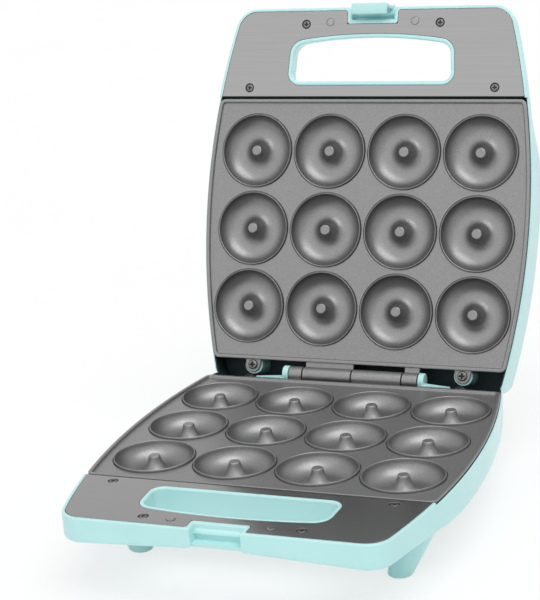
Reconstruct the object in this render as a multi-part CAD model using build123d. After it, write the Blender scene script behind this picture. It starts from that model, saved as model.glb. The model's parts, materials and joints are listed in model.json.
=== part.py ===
from build123d import *
import os
from math import atan, cos, degrees, pi, radians, sqrt, tan

# A clamshell donut maker, in millimetres. Both halves are drawn lying open face up: the hinge
# axis is the X axis, the handles point to -Y and the parting plane is Z = 0. Each lid piece is
# then mirrored in the parting plane and swung open about the hinge axis.

# Cavities and cooking plates
COLUMNS = 4
ROWS = 3
CAVITY_SIDES = 12
PITCH_X = 57.0
PITCH_Y = 58.0
CAVITY_RADIUS = 26.8
LIP_WIDTH = 1.2
LIP_HEIGHT = 1.5
LIP_LEVEL = 0.75
BOWL_DEPTH = 13.6
BOWL_SHOULDER_DEPTH = 8.4
BOWL_SHOULDER_INSET = 2.9
BOWL_FLOOR_INSET = 11.2
POST_FOOT_RADIUS = 6.8
POST_FOOT_DEPTH = 9.0
POST_TOP_RADIUS = 3.9
PLATE_MARGIN_SIDE = 9.3
PLATE_MARGIN_FRONT = 10.5
PLATE_MARGIN_REAR = 10.0
PLATE_REAR = 11.0
PLATE_CORNER = 5.0
PLATE_SKIN = 2.4
PLATE_FLANGE = 1.5
PLATE_CLEARANCE = 0.8
BEAD_WIDTH = 3.2
RIDGE_FLOOR = 2.4
RIDGE_WALL = 1.0
RIDGE_DRAFT = 28.0

# Shells
PARTING_GAP = 0.4
WALL = 2.6
SIDE_RADIUS = 538.0
WIDEST_FORWARD = 14.75
PLATE_INSET = 1.3
HIDDEN_CHORDS = 4
FRONT_CORNER = 17.0
REAR_CORNER = 10.0
REAR_WALL = 6.5
BULKHEAD_SEAT = 2.0
BAND_HEIGHT = 25.0
HANDLE_THICKNESS = 17.7
SWEEP_BEHIND = 63.5
SWEEP_LENGTH = 60.0
ARCH_RISE = 3.7
ARCH_HALF_SPAN = 94.0
BELLY_INSET = 10.0
BELLY_DEPTH = 40.0
BELLY_FRONT = 12.5
BELLY_REAR = 6.0
BELLY_CORNER = 20.0
LID_HEIGHT = 40.0
LID_CHAMFER = 8.0
LID_SWEEP_BEHIND = 53.5
LID_SWEEP_LENGTH = 50.0

# Legs and pads
BASE_HEIGHT = 57.0
LEG_FOOT_RADIUS = 8.0
LEG_TOP_RADIUS = 15.0
LEG_TOP_LEVEL = 15.0
LEG_FOOT_INSET = 31.5
LEG_TOP_INSET = 16.5
LEG_FRONT = 12.5
LEG_REAR = 13.0
LEG_RAKE = 5.0
LEG_SIDES = 12
PAD_RADIUS = 6.5
PAD_THICKNESS = 2.0
PAD_PROUD = 1.0

# Handles
HANDLE_GAP = 2.5
HANDLE_DEPTH = 63.0
HANDLE_RIM = 2.1
HANDLE_SHEET = 0.8
HANDLE_CORNER = 15.0
SLEEVE_RIM = 2.0
GRIP_SETBACK = 8.9
GRIP_DEPTH = 35.4
GRIP_HALF_WIDTH = 62.9
GRIP_TAPER = 1.9
GRIP_BOW = 5.2
GRIP_REAR_CORNER = 8.0
GRIP_FRONT_CORNER = 10.0

# Latch recess, clip and pin
RECESS_HALF_WIDTH = 16.2
RECESS_TAPER = 1.6
RECESS_WALL = 1.5
RECESS_DEPTH = 9.2
RECESS_FLOOR = 11.5
RECESS_SILL = 2.5
LID_RECESS_FLOOR = 14.5
CATCH_HALF_WIDTH = 10.0
CATCH_PROUD = 1.6
CATCH_TOP = 3.6
CATCH_HEIGHT = 3.2
CLIP_HALF_WIDTH = 13.5
CLIP_GAP = 1.0
CLIP_THICKNESS = 3.0
CLIP_TAB = 12.0
CLIP_REACH = 10.5
CLIP_HOOK = 2.6
CLIP_CLEARANCE = 0.6
CLIP_ARM = 3.2
CLIP_BARREL = 2.7
LATCH_PIN_RADIUS = 1.25
LATCH_PIN_BEHIND = 3.7
LATCH_PIN_LEVEL = 8.0
LATCH_PIN_BITE = 1.0

# Hinge
OPEN_ANGLE = 109.6
STOP_GAP = 0.3
KNUCKLE_RADIUS = 4.5
KNUCKLE_EDGES = [-49.0, -38.5, -1.0, 37.0, 49.0]
KNUCKLE_GAP = 0.3
HINGE_PIN_RADIUS = 2.0
RUNNING_CLEARANCE = 0.05
EAR_RADIUS = 5.2
EAR_THICKNESS = 2.6
EAR_BACK = 3.5
PIN_CLIP_RADIUS = 3.6
PIN_CLIP_THICKNESS = 1.5

# Fasteners
SCREW_SHANK = 1.5
SCREW_LENGTH = 8.5
SCREW_CLEARANCE = 0.05
BAR_SIDES = 8
HANDLE_SCREW_HEAD = 3.35
HANDLE_SCREW_SINK = 1.7
HANDLE_SCREW_REAR_SETBACK = 5.8
HANDLE_SCREW_SIDE = 23.5
HANDLE_SCREW_FRONT_SETBACK = 10.0
HANDLE_SCREW_FRONT_INSET = 11.8
LUG_X = 80.0
LUG_Y = 5.4
LUG_RADIUS = 5.5
LUG_TOP = 3.0
LUG_THICKNESS = 2.4
LUG_SCREW_HEAD = 3.1
LUG_SCREW_RISE = 2.0
LUG_BOSS = 4.5

# Heating and control
TUBE_RADIUS = 3.2
TUBE_CLEARANCE = 0.05
TUBE_TAIL = 18.0
TERMINAL_RADIUS = 3.6
TERMINAL_LENGTH = 7.0
BLADE_RADIUS = 1.2
BLADE_LENGTH = 5.0
REFLECTOR_SHEET = 0.6
REFLECTOR_MARGIN = 14.0
THERMOSTAT_RADIUS = 8.5
THERMOSTAT_HEIGHT = 8.0
THERMOSTAT_EAR = 12.0
THERMOSTAT_EAR_RADIUS = 3.4
THERMOSTAT_FLANGE = 1.2
THERMOSTAT_GAP = 1.0
INNER_SCREW_SHANK = 1.2
INNER_SCREW_HEAD = 2.4
INNER_SCREW_RISE = 1.4
INNER_SCREW_LENGTH = 5.0
FUSE_RADIUS = 2.0
FUSE_LENGTH = 14.0
FUSE_X = 42.0
FUSE_CLIP_WIDTH = 6.0
FUSE_CLIP_SHEET = 0.6
BLOCK_LENGTH = 36.0
BLOCK_WIDTH = 18.0
BLOCK_HEIGHT = 12.0
BLOCK_POST = 5.0
BLOCK_POST_RADIUS = 4.0
BLOCK_SCREW_PITCH = 24.0
BLOCK_SETBACK = 26.0
BUSHING_X = -60.0
BUSHING_LEVEL = 16.5
BUSHING_RADIUS = 4.4
BUSHING_FLANGE = 5.6
BUSHING_LIP = 1.6
BUSHING_BORE = 3.4
LENS_RADIUS = 4.0
LENS_FLANGE = 5.2
LENS_PROUD = 1.2
LENS_STEM = 2.0
LENS_X = 11.0
LENS_BEHIND = 66.0
LAMP_RADIUS = 3.0
LAMP_LENGTH = 12.0
VENT_COUNT = 6
VENT_PITCH = 10.0
VENT_WIDTH = 3.0
VENT_LENGTH = 34.0

# Half a side of an octagon, for each unit from its middle to that side, and the greatest
# slope of a face that still counts as upright
OCTAGON = sqrt(2) - 1
UPRIGHT = 0.01

# Places that follow from the sizes above
lip_foot = CAVITY_RADIUS + LIP_WIDTH
plate_face = LIP_LEVEL + LIP_HEIGHT
plate_back = plate_face + PLATE_SKIN
ridge_bottom = LIP_LEVEL + BOWL_DEPTH + RIDGE_FLOOR
ridge_radius = CAVITY_RADIUS + RIDGE_WALL
reflector_back = ridge_bottom + REFLECTOR_SHEET
columns = [(column - (COLUMNS - 1) / 2) * PITCH_X for column in range(COLUMNS)]
rows = [-(PLATE_REAR + PLATE_MARGIN_REAR + lip_foot + row * PITCH_Y) for row in range(ROWS)]
row_length = columns[-1] - columns[0]
middle_row = rows[ROWS // 2]
plate_front = rows[-1] - lip_foot - PLATE_MARGIN_FRONT
half_width = columns[-1] + lip_foot + PLATE_MARGIN_SIDE + PLATE_INSET
widest_y = (plate_front - PLATE_REAR) / 2 - WIDEST_FORWARD
plate_seat = PARTING_GAP + PLATE_FLANGE
deck_level = PARTING_GAP + HANDLE_SHEET
handle_rear = plate_front - HANDLE_GAP
handle_front = handle_rear - HANDLE_DEPTH
shell_front = handle_front - HANDLE_RIM
deck_rear = (plate_front + handle_rear) / 2
bulkhead = plate_front + BULKHEAD_SEAT
grip_rear = handle_rear - GRIP_SETBACK
grip_front = grip_rear - GRIP_DEPTH
recess_back = shell_front + RECESS_DEPTH
latch_pin_y = shell_front + LATCH_PIN_BEHIND
ear_inner = KNUCKLE_EDGES[-1] + KNUCKLE_GAP
block_y = -PLATE_REAR - BLOCK_SETBACK
block_back = BELLY_DEPTH - WALL - BLOCK_POST
lens_y = plate_front + LENS_BEHIND
reach = 2 * half_width


def side_x(y, inset):
    """Half-width of the bowed side at y, moved inward by inset."""
    radius = SIDE_RADIUS - inset
    return half_width - SIDE_RADIUS + sqrt(radius**2 - (y - widest_y) ** 2)


def outline(inset, front, rear, front_radius, rear_radius, chords=0):
    """Plan of a shell or plate: straight front and rear, bowed sides, corners round or sharp.

    On sides that nobody sees, a few chords stand in for the bow.
    """
    steps = chords or 2
    stations = [front + (rear - front) * step / steps for step in range(steps + 1)]
    right = [(side_x(y, inset), y) for y in stations]
    left = [(-x, y) for x, y in reversed(right)]
    side = Polyline if chords else ThreePointArc
    ends = [Line(right[-1], left[0]), Line(left[-1], right[0])]
    face = make_face([*side(*right).edges(), *side(*left).edges(), *ends])
    if front_radius:
        face = fillet(face.vertices().group_by(Axis.Y)[0], front_radius)
    if rear_radius:
        face = fillet(face.vertices().group_by(Axis.Y)[-1], rear_radius)
    return face


def slab(face, top, bottom):
    """A plan face made solid from a depth top to a depth bottom below the parting plane."""
    return extrude(Pos(0, 0, -top) * face, top - bottom)


def block(x_low, x_high, y_low, y_high, top, bottom):
    """A box between two depths below the parting plane."""
    middle = Pos((x_low + x_high) / 2, (y_low + y_high) / 2, -(top + bottom) / 2)
    return middle * Box(x_high - x_low, y_high - y_low, bottom - top)


def disc(radius, sides=BAR_SIDES):
    """The plan of a small bar or hole, with few flat sides because it repeats so often."""
    return RegularPolygon(radius, sides)


def frustum(plane, wide, narrow, length, sides=BAR_SIDES):
    """A bar that narrows along the normal of a plane."""
    taper = degrees(atan((wide - narrow) * cos(pi / sides) / length))
    return plane * extrude(disc(wide, sides), length, taper=taper)


def press_hole(radius):
    """The section of a hole whose flat sides hold a round pin of this radius."""
    return disc((radius + SCREW_CLEARANCE) / cos(pi / BAR_SIDES))


def rod(x, y, radius, top, bottom):
    """An upright bar between two depths below the parting plane."""
    return slab(Pos(x, y) * disc(radius), top, bottom)


def cross_bar(face, x_low, x_high, y, depth):
    """A section made solid along X at a depth below the parting plane."""
    return extrude(Plane(origin=(x_low, y, -depth), z_dir=(1, 0, 0)) * face, x_high - x_low)


def cross_rod(x_low, x_high, y, depth, radius):
    """A truly round bar along X, for what turns."""
    return cross_bar(Circle(radius), x_low, x_high, y, depth)


def across(points, half_length):
    """A side profile in Y and Z made solid from -half_length to half_length in X."""
    return extrude(Plane.YZ * make_face(Polyline(*points, close=True)), half_length, both=True)


def swept_depth(deep, shallow, start, length):
    """All that lies above an underside which is deep at the rear and sweeps up to the handle."""
    rear, front = REAR_WALL + reach, shell_front - reach
    turn, end = (start - length / 2, -(deep + shallow) / 2), (start - length, -shallow)
    first = TangentArc((start, -deep), turn, tangent=(-1, 0))
    second = TangentArc(turn, end, tangent=first % 1)
    rest = Polyline(end, (front, -shallow), (front, deep), (rear, deep), (rear, -deep), (start, -deep))
    return extrude(Plane.YZ * make_face([first, second, *rest.edges()]), reach, both=True)


def grip_outline(growth):
    """Plan of the hand hole, its front edge bowed, grown on all sides."""
    rear, front = grip_rear + growth, grip_front - growth
    wide = GRIP_HALF_WIDTH + growth
    narrow, side = wide - GRIP_TAPER, front + GRIP_BOW
    bow = ThreePointArc((-narrow, side), (0, front), (narrow, side))
    sides = Polyline((narrow, side), (wide, rear), (-wide, rear), (-narrow, side))
    face = make_face([bow, *sides.edges()])
    face = fillet(face.vertices().group_by(Axis.Y)[0], GRIP_FRONT_CORNER + growth)
    return fillet(face.vertices().group_by(Axis.Y)[-1], GRIP_REAR_CORNER + growth)


def recess(growth, floor):
    """The latch recess at the middle of the front edge, narrower towards its floor."""
    wide = RECESS_HALF_WIDTH + growth
    narrow = wide - RECESS_TAPER
    profile = Polyline((-wide, 0), (wide, 0), (narrow, -floor), (-narrow, -floor), close=True)
    plane = Plane(origin=(0, recess_back + growth, 0), x_dir=(1, 0, 0), z_dir=(0, -1, 0))
    return extrude(plane * make_face(profile), RECESS_DEPTH + growth + FRONT_CORNER)


def handle_screw_places():
    """The four handle plate screws: two at the rear corners, two in front of the hand hole."""
    rear = handle_rear - HANDLE_SCREW_REAR_SETBACK
    front = handle_front + HANDLE_SCREW_FRONT_SETBACK
    rear_x = side_x(rear, HANDLE_SCREW_SIDE)
    front_x = GRIP_HALF_WIDTH - HANDLE_SCREW_FRONT_INSET
    return [(-rear_x, rear), (rear_x, rear), (-front_x, front), (front_x, front)]


def sunk_screw(x, y, growth):
    """A countersunk handle screw, its head flush with the steel plate."""
    shank, sunk = SCREW_SHANK + growth, PARTING_GAP + HANDLE_SCREW_SINK
    plane = Plane(origin=(x, y, -PARTING_GAP), x_dir=(1, 0, 0), z_dir=(0, 0, -1))
    head = frustum(plane, HANDLE_SCREW_HEAD + growth, shank, HANDLE_SCREW_SINK)
    return head + rod(x, y, shank, sunk, PARTING_GAP + SCREW_LENGTH + growth)


def pan_screw(x, y, head, rise, shank, seat, length):
    """A pan head screw that sits on a seat at a depth and reaches length below it."""
    return rod(x, y, head, seat - rise, seat) + rod(x, y, shank, seat, seat + length)


def handle_fittings(body, recess_floor):
    """Seat of the steel plate, hand hole, latch recess and screw holes of a handle."""
    sleeve = slab(grip_outline(SLEEVE_RIM), 0, BASE_HEIGHT)
    sheet = outline(HANDLE_RIM, handle_front, deck_rear, HANDLE_CORNER, 0)
    sheet_seat = slab(sheet, 0, deck_level) - [sleeve, recess(RECESS_WALL, recess_floor)]
    grip = slab(grip_outline(0), 0, BASE_HEIGHT)
    holes = [sunk_screw(x, y, SCREW_CLEARANCE) for x, y in handle_screw_places()]
    return body - [sheet_seat, grip, recess(0, recess_floor), *holes]


def rear_fittings(body, floor):
    """Seat for the plate flange, the bevel that meets the other half, and the lug bosses."""
    far = REAR_WALL + reach
    slope = tan(radians(OPEN_ANGLE / 2))
    bevel = across([(0, far), (0, -STOP_GAP), (far, -STOP_GAP - far * slope), (far, far)], reach)
    seat = block(-reach, reach, deck_rear, far, -far, plate_seat)
    lug_floor = LUG_TOP + LUG_THICKNESS
    bosses = [rod(x, -LUG_Y, LUG_BOSS, lug_floor, floor) for x in (-LUG_X, LUG_X)]
    hole = SCREW_SHANK + SCREW_CLEARANCE
    deep = LUG_TOP + SCREW_LENGTH + SCREW_CLEARANCE
    holes = [rod(x, -LUG_Y, hole, LUG_TOP, deep) for x in (-LUG_X, LUG_X)]
    return body - [bevel, seat] + bosses - holes


def feet():
    """Centre of each foot on the floor and the way its leg rakes towards the middle."""
    front, rear = plate_front + LEG_FRONT, -PLATE_REAR - LEG_REAR
    return [
        (side * side_x(y, LEG_FOOT_INSET), y, side * side_x(y, LEG_TOP_INSET), y + rake)
        for y, rake in ((front, LEG_RAKE), (rear, -LEG_RAKE))
        for side in (-1, 1)
    ]


def legs():
    """Four raked legs that widen upwards into the corners of the base."""
    rise = BASE_HEIGHT - LEG_TOP_LEVEL
    above_floor = block(-reach, reach, -2 * reach, reach, 0, BASE_HEIGHT - PAD_PROUD)
    pieces = []
    for x, y, top_x, top_y in feet():
        rake = Vector(x - top_x, y - top_y, -rise)
        plane = Plane(origin=(top_x, top_y, -LEG_TOP_LEVEL), z_dir=rake)
        leg = frustum(plane, LEG_TOP_RADIUS, LEG_FOOT_RADIUS, rake.length + PAD_THICKNESS, LEG_SIDES)
        pieces.append(leg & above_floor)
    return pieces


def foot_pads(growth=0.0):
    top = BASE_HEIGHT - PAD_THICKNESS
    return [rod(x, y, PAD_RADIUS + growth, top, BASE_HEIGHT) for x, y, _, _ in feet()]


def tub():
    """The belly under the band of the base."""
    front = plate_front + BELLY_FRONT
    plan = outline(BELLY_INSET, front, -BELLY_REAR, BELLY_CORNER, BELLY_CORNER)
    return slab(plan, HANDLE_THICKNESS - WALL, BELLY_DEPTH)


def tub_void():
    """The space in the belly, its corners cut off inside the round ones."""
    front, rear = plate_front + BELLY_FRONT + WALL, -BELLY_REAR - WALL
    plan = outline(BELLY_INSET + WALL, front, rear, 0, 0, HIDDEN_CHORDS)
    ends = plan.vertices().group_by(Axis.Y)
    plan = chamfer(ends[0] + ends[-1], BELLY_CORNER * (1 - OCTAGON))
    return slab(plan, HANDLE_THICKNESS - WALL, BELLY_DEPTH - WALL)


def handle_arch():
    """A shallow arch under the front edge of the base that fades out towards the plate."""
    radius = (ARCH_HALF_SPAN**2 + ARCH_RISE**2) / (2 * ARCH_RISE)
    run = handle_rear - shell_front
    fall = (0, run, -ARCH_RISE)
    crown = ARCH_RISE - HANDLE_THICKNESS
    plane = Plane(origin=(0, shell_front, crown - radius), x_dir=(1, 0, 0), z_dir=fall)
    return plane * Cylinder(radius, 2 * run)


def ears():
    """Two walls of the base that flank the hinge barrel and hold the pin."""
    pieces = []
    for low in (ear_inner, -ear_inner - EAR_THICKNESS):
        high = low + EAR_THICKNESS
        pieces.append(cross_bar(disc(EAR_RADIUS, LEG_SIDES), low, high, 0, 0))
        pieces.append(block(low, high, -EAR_RADIUS, EAR_BACK, 0, BAND_HEIGHT - WALL / 2))
    return pieces


def base_shell():
    sweep = plate_front + SWEEP_BEHIND
    plan = outline(0, shell_front, REAR_WALL, FRONT_CORNER, REAR_CORNER)
    inner = outline(WALL, bulkhead, REAR_WALL - WALL, 0, REAR_CORNER - WALL, HIDDEN_CHORDS)
    body = slab(plan, PARTING_GAP, BAND_HEIGHT)
    body &= swept_depth(BAND_HEIGHT, HANDLE_THICKNESS, sweep, SWEEP_LENGTH)
    body = body - handle_arch() + [tub(), *legs()]
    void = slab(inner, 0, BAND_HEIGHT)
    void &= swept_depth(BAND_HEIGHT - WALL, HANDLE_THICKNESS - WALL, sweep, SWEEP_LENGTH)
    body -= [void, tub_void(), *foot_pads(SCREW_CLEARANCE)]
    body = handle_fittings(body, RECESS_FLOOR)
    sill = RECESS_HALF_WIDTH - RECESS_TAPER
    front = shell_front - WALL
    body -= block(-sill, sill, front, shell_front + RECESS_SILL, RECESS_FLOOR, BAND_HEIGHT)
    top, proud = -CATCH_TOP, recess_back - CATCH_PROUD
    low = top - CATCH_HEIGHT
    catch = [(recess_back + RECESS_WALL, top), (recess_back, top), (proud, top - CATCH_PROUD),
             (proud, low), (recess_back + RECESS_WALL, low)]
    body += across(catch, CATCH_HALF_WIDTH)
    body = rear_fittings(body, BAND_HEIGHT - WALL / 2) + ears()
    pin_end = ear_inner + EAR_THICKNESS + WALL
    body -= cross_bar(press_hole(HINGE_PIN_RADIUS), -pin_end, pin_end, 0, 0)
    body -= bushing_bar(BUSHING_RADIUS + SCREW_CLEARANCE, REAR_WALL - 2 * WALL, REAR_WALL + WALL)
    floor = BELLY_DEPTH - WALL / 2
    posts = [rod(x, block_y, BLOCK_POST_RADIUS, block_back, floor) for x in block_screws()]
    holes = [terminal_screw(x, SCREW_CLEARANCE) for x in block_screws()]
    body = body + posts - holes
    for vent in range(VENT_COUNT):
        y = middle_row + (vent - (VENT_COUNT - 1) / 2) * VENT_PITCH
        half = VENT_WIDTH / 2
        top = BELLY_DEPTH - 2 * WALL
        body -= block(-VENT_LENGTH, VENT_LENGTH, y - half, y + half, top, BASE_HEIGHT)
    return body


def lid_shell():
    """The domed lid: a bevelled crown over a hollow that is open towards the plate."""
    sweep = plate_front + LID_SWEEP_BEHIND
    plan = outline(0, shell_front, REAR_WALL, FRONT_CORNER, REAR_CORNER)
    solid = slab(plan, PARTING_GAP, LID_HEIGHT)
    solid &= swept_depth(LID_HEIGHT, HANDLE_THICKNESS, sweep, LID_SWEEP_LENGTH)
    upright = [face for face in solid.faces() if abs(face.normal_at().Z) < UPRIGHT]
    edges = [edge for face in upright for edge in face.edges()]
    crown = [edge for edge in edges if edge.bounding_box().max.Z < -HANDLE_THICKNESS / 2]
    body = chamfer(crown, LID_CHAMFER)
    inset = LID_CHAMFER + WALL * OCTAGON
    inner = outline(inset, bulkhead, REAR_WALL - inset, 0, 0, HIDDEN_CHORDS)
    void = slab(inner, 0, LID_HEIGHT)
    void &= swept_depth(LID_HEIGHT - WALL, HANDLE_THICKNESS - WALL, sweep, LID_SWEEP_LENGTH)
    mouth = outline(WALL, bulkhead, REAR_WALL - WALL, 0, REAR_CORNER - WALL, HIDDEN_CHORDS)
    void += slab(mouth, 0, HANDLE_THICKNESS)
    body = handle_fittings(body - void, LID_RECESS_FLOOR)
    body = rear_fittings(body, LID_HEIGHT - WALL / 2)
    end = RECESS_HALF_WIDTH + LATCH_PIN_BITE
    body -= cross_bar(press_hole(LATCH_PIN_RADIUS), -end, end, latch_pin_y, LATCH_PIN_LEVEL)
    hole = LENS_RADIUS + SCREW_CLEARANCE
    top, bottom = LID_HEIGHT - 2 * WALL, LID_HEIGHT + WALL
    return body - [rod(x, lens_y, hole, top, bottom) for x in (-LENS_X, LENS_X)]


def ring(wide, narrow):
    """One band of a cavity, between two pairs of radius and depth, the wider first."""
    (wide_radius, wide_depth), (narrow_radius, narrow_depth) = wide, narrow
    rise = wide_depth - narrow_depth
    plane = Plane(origin=(0, 0, -wide_depth), x_dir=(1, 0, 0), z_dir=(0, 0, rise))
    return frustum(plane, wide_radius, narrow_radius, abs(rise), CAVITY_SIDES)


def cavity():
    """One ring-shaped hollow, with the post that stands in it left out of the cut."""
    rim = (CAVITY_RADIUS, LIP_LEVEL)
    shoulder = (CAVITY_RADIUS - BOWL_SHOULDER_INSET, LIP_LEVEL + BOWL_SHOULDER_DEPTH)
    floor = (CAVITY_RADIUS - BOWL_FLOOR_INSET, LIP_LEVEL + BOWL_DEPTH)
    foot = (POST_FOOT_RADIUS, LIP_LEVEL + POST_FOOT_DEPTH)
    post = ring(floor, foot) + ring(foot, (POST_TOP_RADIUS, LIP_LEVEL))
    return ring(rim, shoulder) + ring(shoulder, floor) - post


def cooking_plate(first_knuckle):
    """One casting: bead, skin, lips, bowls with posts, ridged back, lugs and hinge knuckles."""
    rear, corner = -PLATE_REAR, PLATE_CORNER
    flange = outline(PLATE_INSET, plate_front, rear, corner, corner)
    inset = WALL + PLATE_CLEARANCE
    body = outline(inset, bulkhead + PLATE_CLEARANCE, rear, 0, 0, HIDDEN_CHORDS)
    inset = PLATE_INSET + BEAD_WIDTH
    face = outline(inset, plate_front + BEAD_WIDTH, rear - BEAD_WIDTH, corner, corner)
    plate = slab(flange, PARTING_GAP, plate_seat) + slab(body, PARTING_GAP, plate_back)
    plate -= slab(face, 0, plate_face)
    plan = Rectangle(row_length + 2 * ridge_radius, 2 * ridge_radius)
    plan = chamfer(plan.vertices(), ridge_radius * (1 - OCTAGON))
    ridge = mirror(extrude(plan, ridge_bottom - plate_back, taper=RIDGE_DRAFT), about=Plane.XY)
    plate += [Pos(0, y, -plate_back) * ridge for y in rows]
    places = [Pos(x, y, 0) for x in columns for y in rows]
    lip = ring((lip_foot, plate_face), (CAVITY_RADIUS, LIP_LEVEL))
    hollow = cavity()
    plate = plate + [place * lip for place in places] - [place * hollow for place in places]
    for x in (-LUG_X, LUG_X):
        bottom = LUG_TOP + LUG_THICKNESS
        web = block(x - LUG_RADIUS, x + LUG_RADIUS, rear - BEAD_WIDTH / 2, -LUG_Y, LUG_TOP, bottom)
        plate += [rod(x, -LUG_Y, LUG_RADIUS, LUG_TOP, bottom), web]
        plate -= rod(x, -LUG_Y, SCREW_SHANK + SCREW_CLEARANCE, 0, BAND_HEIGHT)
    for low, high in list(zip(KNUCKLE_EDGES, KNUCKLE_EDGES[1:]))[first_knuckle::2]:
        low, high = low + KNUCKLE_GAP / 2, high - KNUCKLE_GAP / 2
        arm = block(low, high, rear - BEAD_WIDTH / 2, 0, plate_seat, KNUCKLE_RADIUS)
        plate += [cross_bar(disc(KNUCKLE_RADIUS, LEG_SIDES), low, high, 0, 0), arm]
    plate -= cross_rod(-reach, reach, 0, 0, HINGE_PIN_RADIUS + RUNNING_CLEARANCE)
    return plate - [inner_screw(x, y, SCREW_CLEARANCE) for x, y in inner_screws()]


def handle_plate(recess_floor):
    front = handle_front + SCREW_CLEARANCE
    sheet = outline(HANDLE_RIM + SCREW_CLEARANCE, front, handle_rear, HANDLE_CORNER, 0)
    plate = slab(sheet, PARTING_GAP, deck_level)
    plate -= slab(grip_outline(SLEEVE_RIM + SCREW_CLEARANCE), 0, deck_level)
    plate -= recess(RECESS_WALL + SCREW_CLEARANCE, recess_floor)
    return plate - [sunk_screw(x, y, SCREW_CLEARANCE) for x, y in handle_screw_places()]


def handle_screws():
    return [sunk_screw(x, y, 0) for x, y in handle_screw_places()]


def plate_screws():
    head, rise = LUG_SCREW_HEAD, LUG_SCREW_RISE
    return [
        pan_screw(x, -LUG_Y, head, rise, SCREW_SHANK, LUG_TOP, SCREW_LENGTH) for x in (-LUG_X, LUG_X)
    ]


def tube_depth():
    """Depth at which the heating tube wedges between two ridges of the plate."""
    draft = radians(RIDGE_DRAFT)
    radius = TUBE_RADIUS + TUBE_CLEARANCE
    valley = PITCH_Y / 2 - ridge_radius
    return plate_back + max((radius / cos(draft) - valley) / tan(draft), radius)


def tube_ends():
    tail = -row_length / 2 - TUBE_TAIL
    return [(tail, middle_row + side * PITCH_Y / 2) for side in (-1, 1)]


def heating_element():
    """A tube bent around the end of the middle row of cavities, parallel to its ridge."""
    (tail, front), (_, rear) = tube_ends()
    turn, half = row_length / 2, PITCH_Y / 2
    near, far = turn + half * OCTAGON, turn + half
    low, high = middle_row - half * OCTAGON, middle_row + half * OCTAGON
    path = Polyline((tail, front), (near, front), (far, low), (far, high), (near, rear), (tail, rear))
    section = Plane(origin=(tail, front, 0), z_dir=(1, 0, 0)) * disc(TUBE_RADIUS)
    tube = sweep(section, path=path, transition=Transition.RIGHT)
    return Pos(0, 0, -tube_depth()) * tube


def element_terminals():
    """A ceramic bush and a connecting pin on each end of the tube."""
    pieces = []
    for tail, y in tube_ends():
        bush, pin = tail - TERMINAL_LENGTH, tail - TERMINAL_LENGTH - BLADE_LENGTH
        terminal = cross_bar(disc(TERMINAL_RADIUS), bush, tail, y, tube_depth())
        pieces.append(terminal + cross_bar(disc(BLADE_RADIUS), pin, bush, y, tube_depth()))
    return pieces


def inner_screws():
    """Screws in the plate's back: the thermostat's two, then two for the reflector."""
    ear = THERMOSTAT_EAR
    return [(0, middle_row - ear), (0, middle_row + ear), (0, rows[0]), (0, rows[-1])]


def inner_screw(x, y, growth):
    length = ridge_bottom - INNER_SCREW_LENGTH - growth
    return rod(x, y, INNER_SCREW_SHANK + growth, length, ridge_bottom)


def inner_screw_set(places, seat):
    length = INNER_SCREW_LENGTH + seat - ridge_bottom
    pieces = []
    for x, y in places:
        head = rod(x, y, INNER_SCREW_HEAD, seat, seat + INNER_SCREW_RISE)
        pieces.append(head + rod(x, y, INNER_SCREW_SHANK, seat - length, seat))
    return pieces


def thermostat_plan(growth):
    ear = THERMOSTAT_EAR_RADIUS + growth
    strap = Rectangle(2 * ear, 2 * (THERMOSTAT_EAR + ear))
    return Pos(0, middle_row) * (disc(THERMOSTAT_RADIUS + growth) + strap)


def reflector():
    margin = 2 * REFLECTOR_MARGIN
    plan = Pos(0, (rows[0] + rows[-1]) / 2) * Rectangle(row_length + margin, rows[0] - rows[-1] + margin)
    sheet = slab(plan, ridge_bottom, reflector_back)
    sheet -= slab(thermostat_plan(THERMOSTAT_GAP), ridge_bottom, reflector_back)
    hole = INNER_SCREW_SHANK + SCREW_CLEARANCE
    return sheet - [rod(x, y, hole, ridge_bottom, reflector_back) for x, y in inner_screws()[2:]]


def thermostat():
    body = slab(thermostat_plan(0), ridge_bottom, ridge_bottom + THERMOSTAT_FLANGE)
    body += rod(0, middle_row, THERMOSTAT_RADIUS, ridge_bottom, ridge_bottom + THERMOSTAT_HEIGHT)
    hole = INNER_SCREW_SHANK + SCREW_CLEARANCE
    return body - [rod(x, y, hole, 0, BASE_HEIGHT) for x, y in inner_screws()[:2]]


def thermal_fuse():
    half = FUSE_LENGTH / 2
    depth = reflector_back + FUSE_RADIUS
    return cross_bar(disc(FUSE_RADIUS), FUSE_X - half, FUSE_X + half, middle_row, depth)


def fuse_clip():
    """A hat-shaped strap that holds the fuse to the back of the reflector."""
    low, high = FUSE_X - FUSE_CLIP_WIDTH / 2, FUSE_X + FUSE_CLIP_WIDTH / 2
    inner = 2 * FUSE_RADIUS
    outer = inner + FUSE_CLIP_SHEET
    wide = inner + outer
    foot, back = reflector_back + FUSE_CLIP_SHEET, reflector_back + inner
    crown = back + FUSE_CLIP_SHEET
    strap = block(low, high, middle_row - wide, middle_row + wide, reflector_back, foot)
    strap += block(low, high, middle_row - outer, middle_row + outer, reflector_back, crown)
    return strap - block(low, high, middle_row - inner, middle_row + inner, reflector_back, back)


def block_screws():
    return [BUSHING_X - BLOCK_SCREW_PITCH / 2, BUSHING_X + BLOCK_SCREW_PITCH / 2]


def terminal_screw(x, growth):
    seat = block_back - BLOCK_HEIGHT
    length = BLOCK_HEIGHT + BLOCK_POST - WALL / 2 + growth
    return pan_screw(
        x, block_y, INNER_SCREW_HEAD, INNER_SCREW_RISE, INNER_SCREW_SHANK + growth, seat, length
    )


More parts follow.
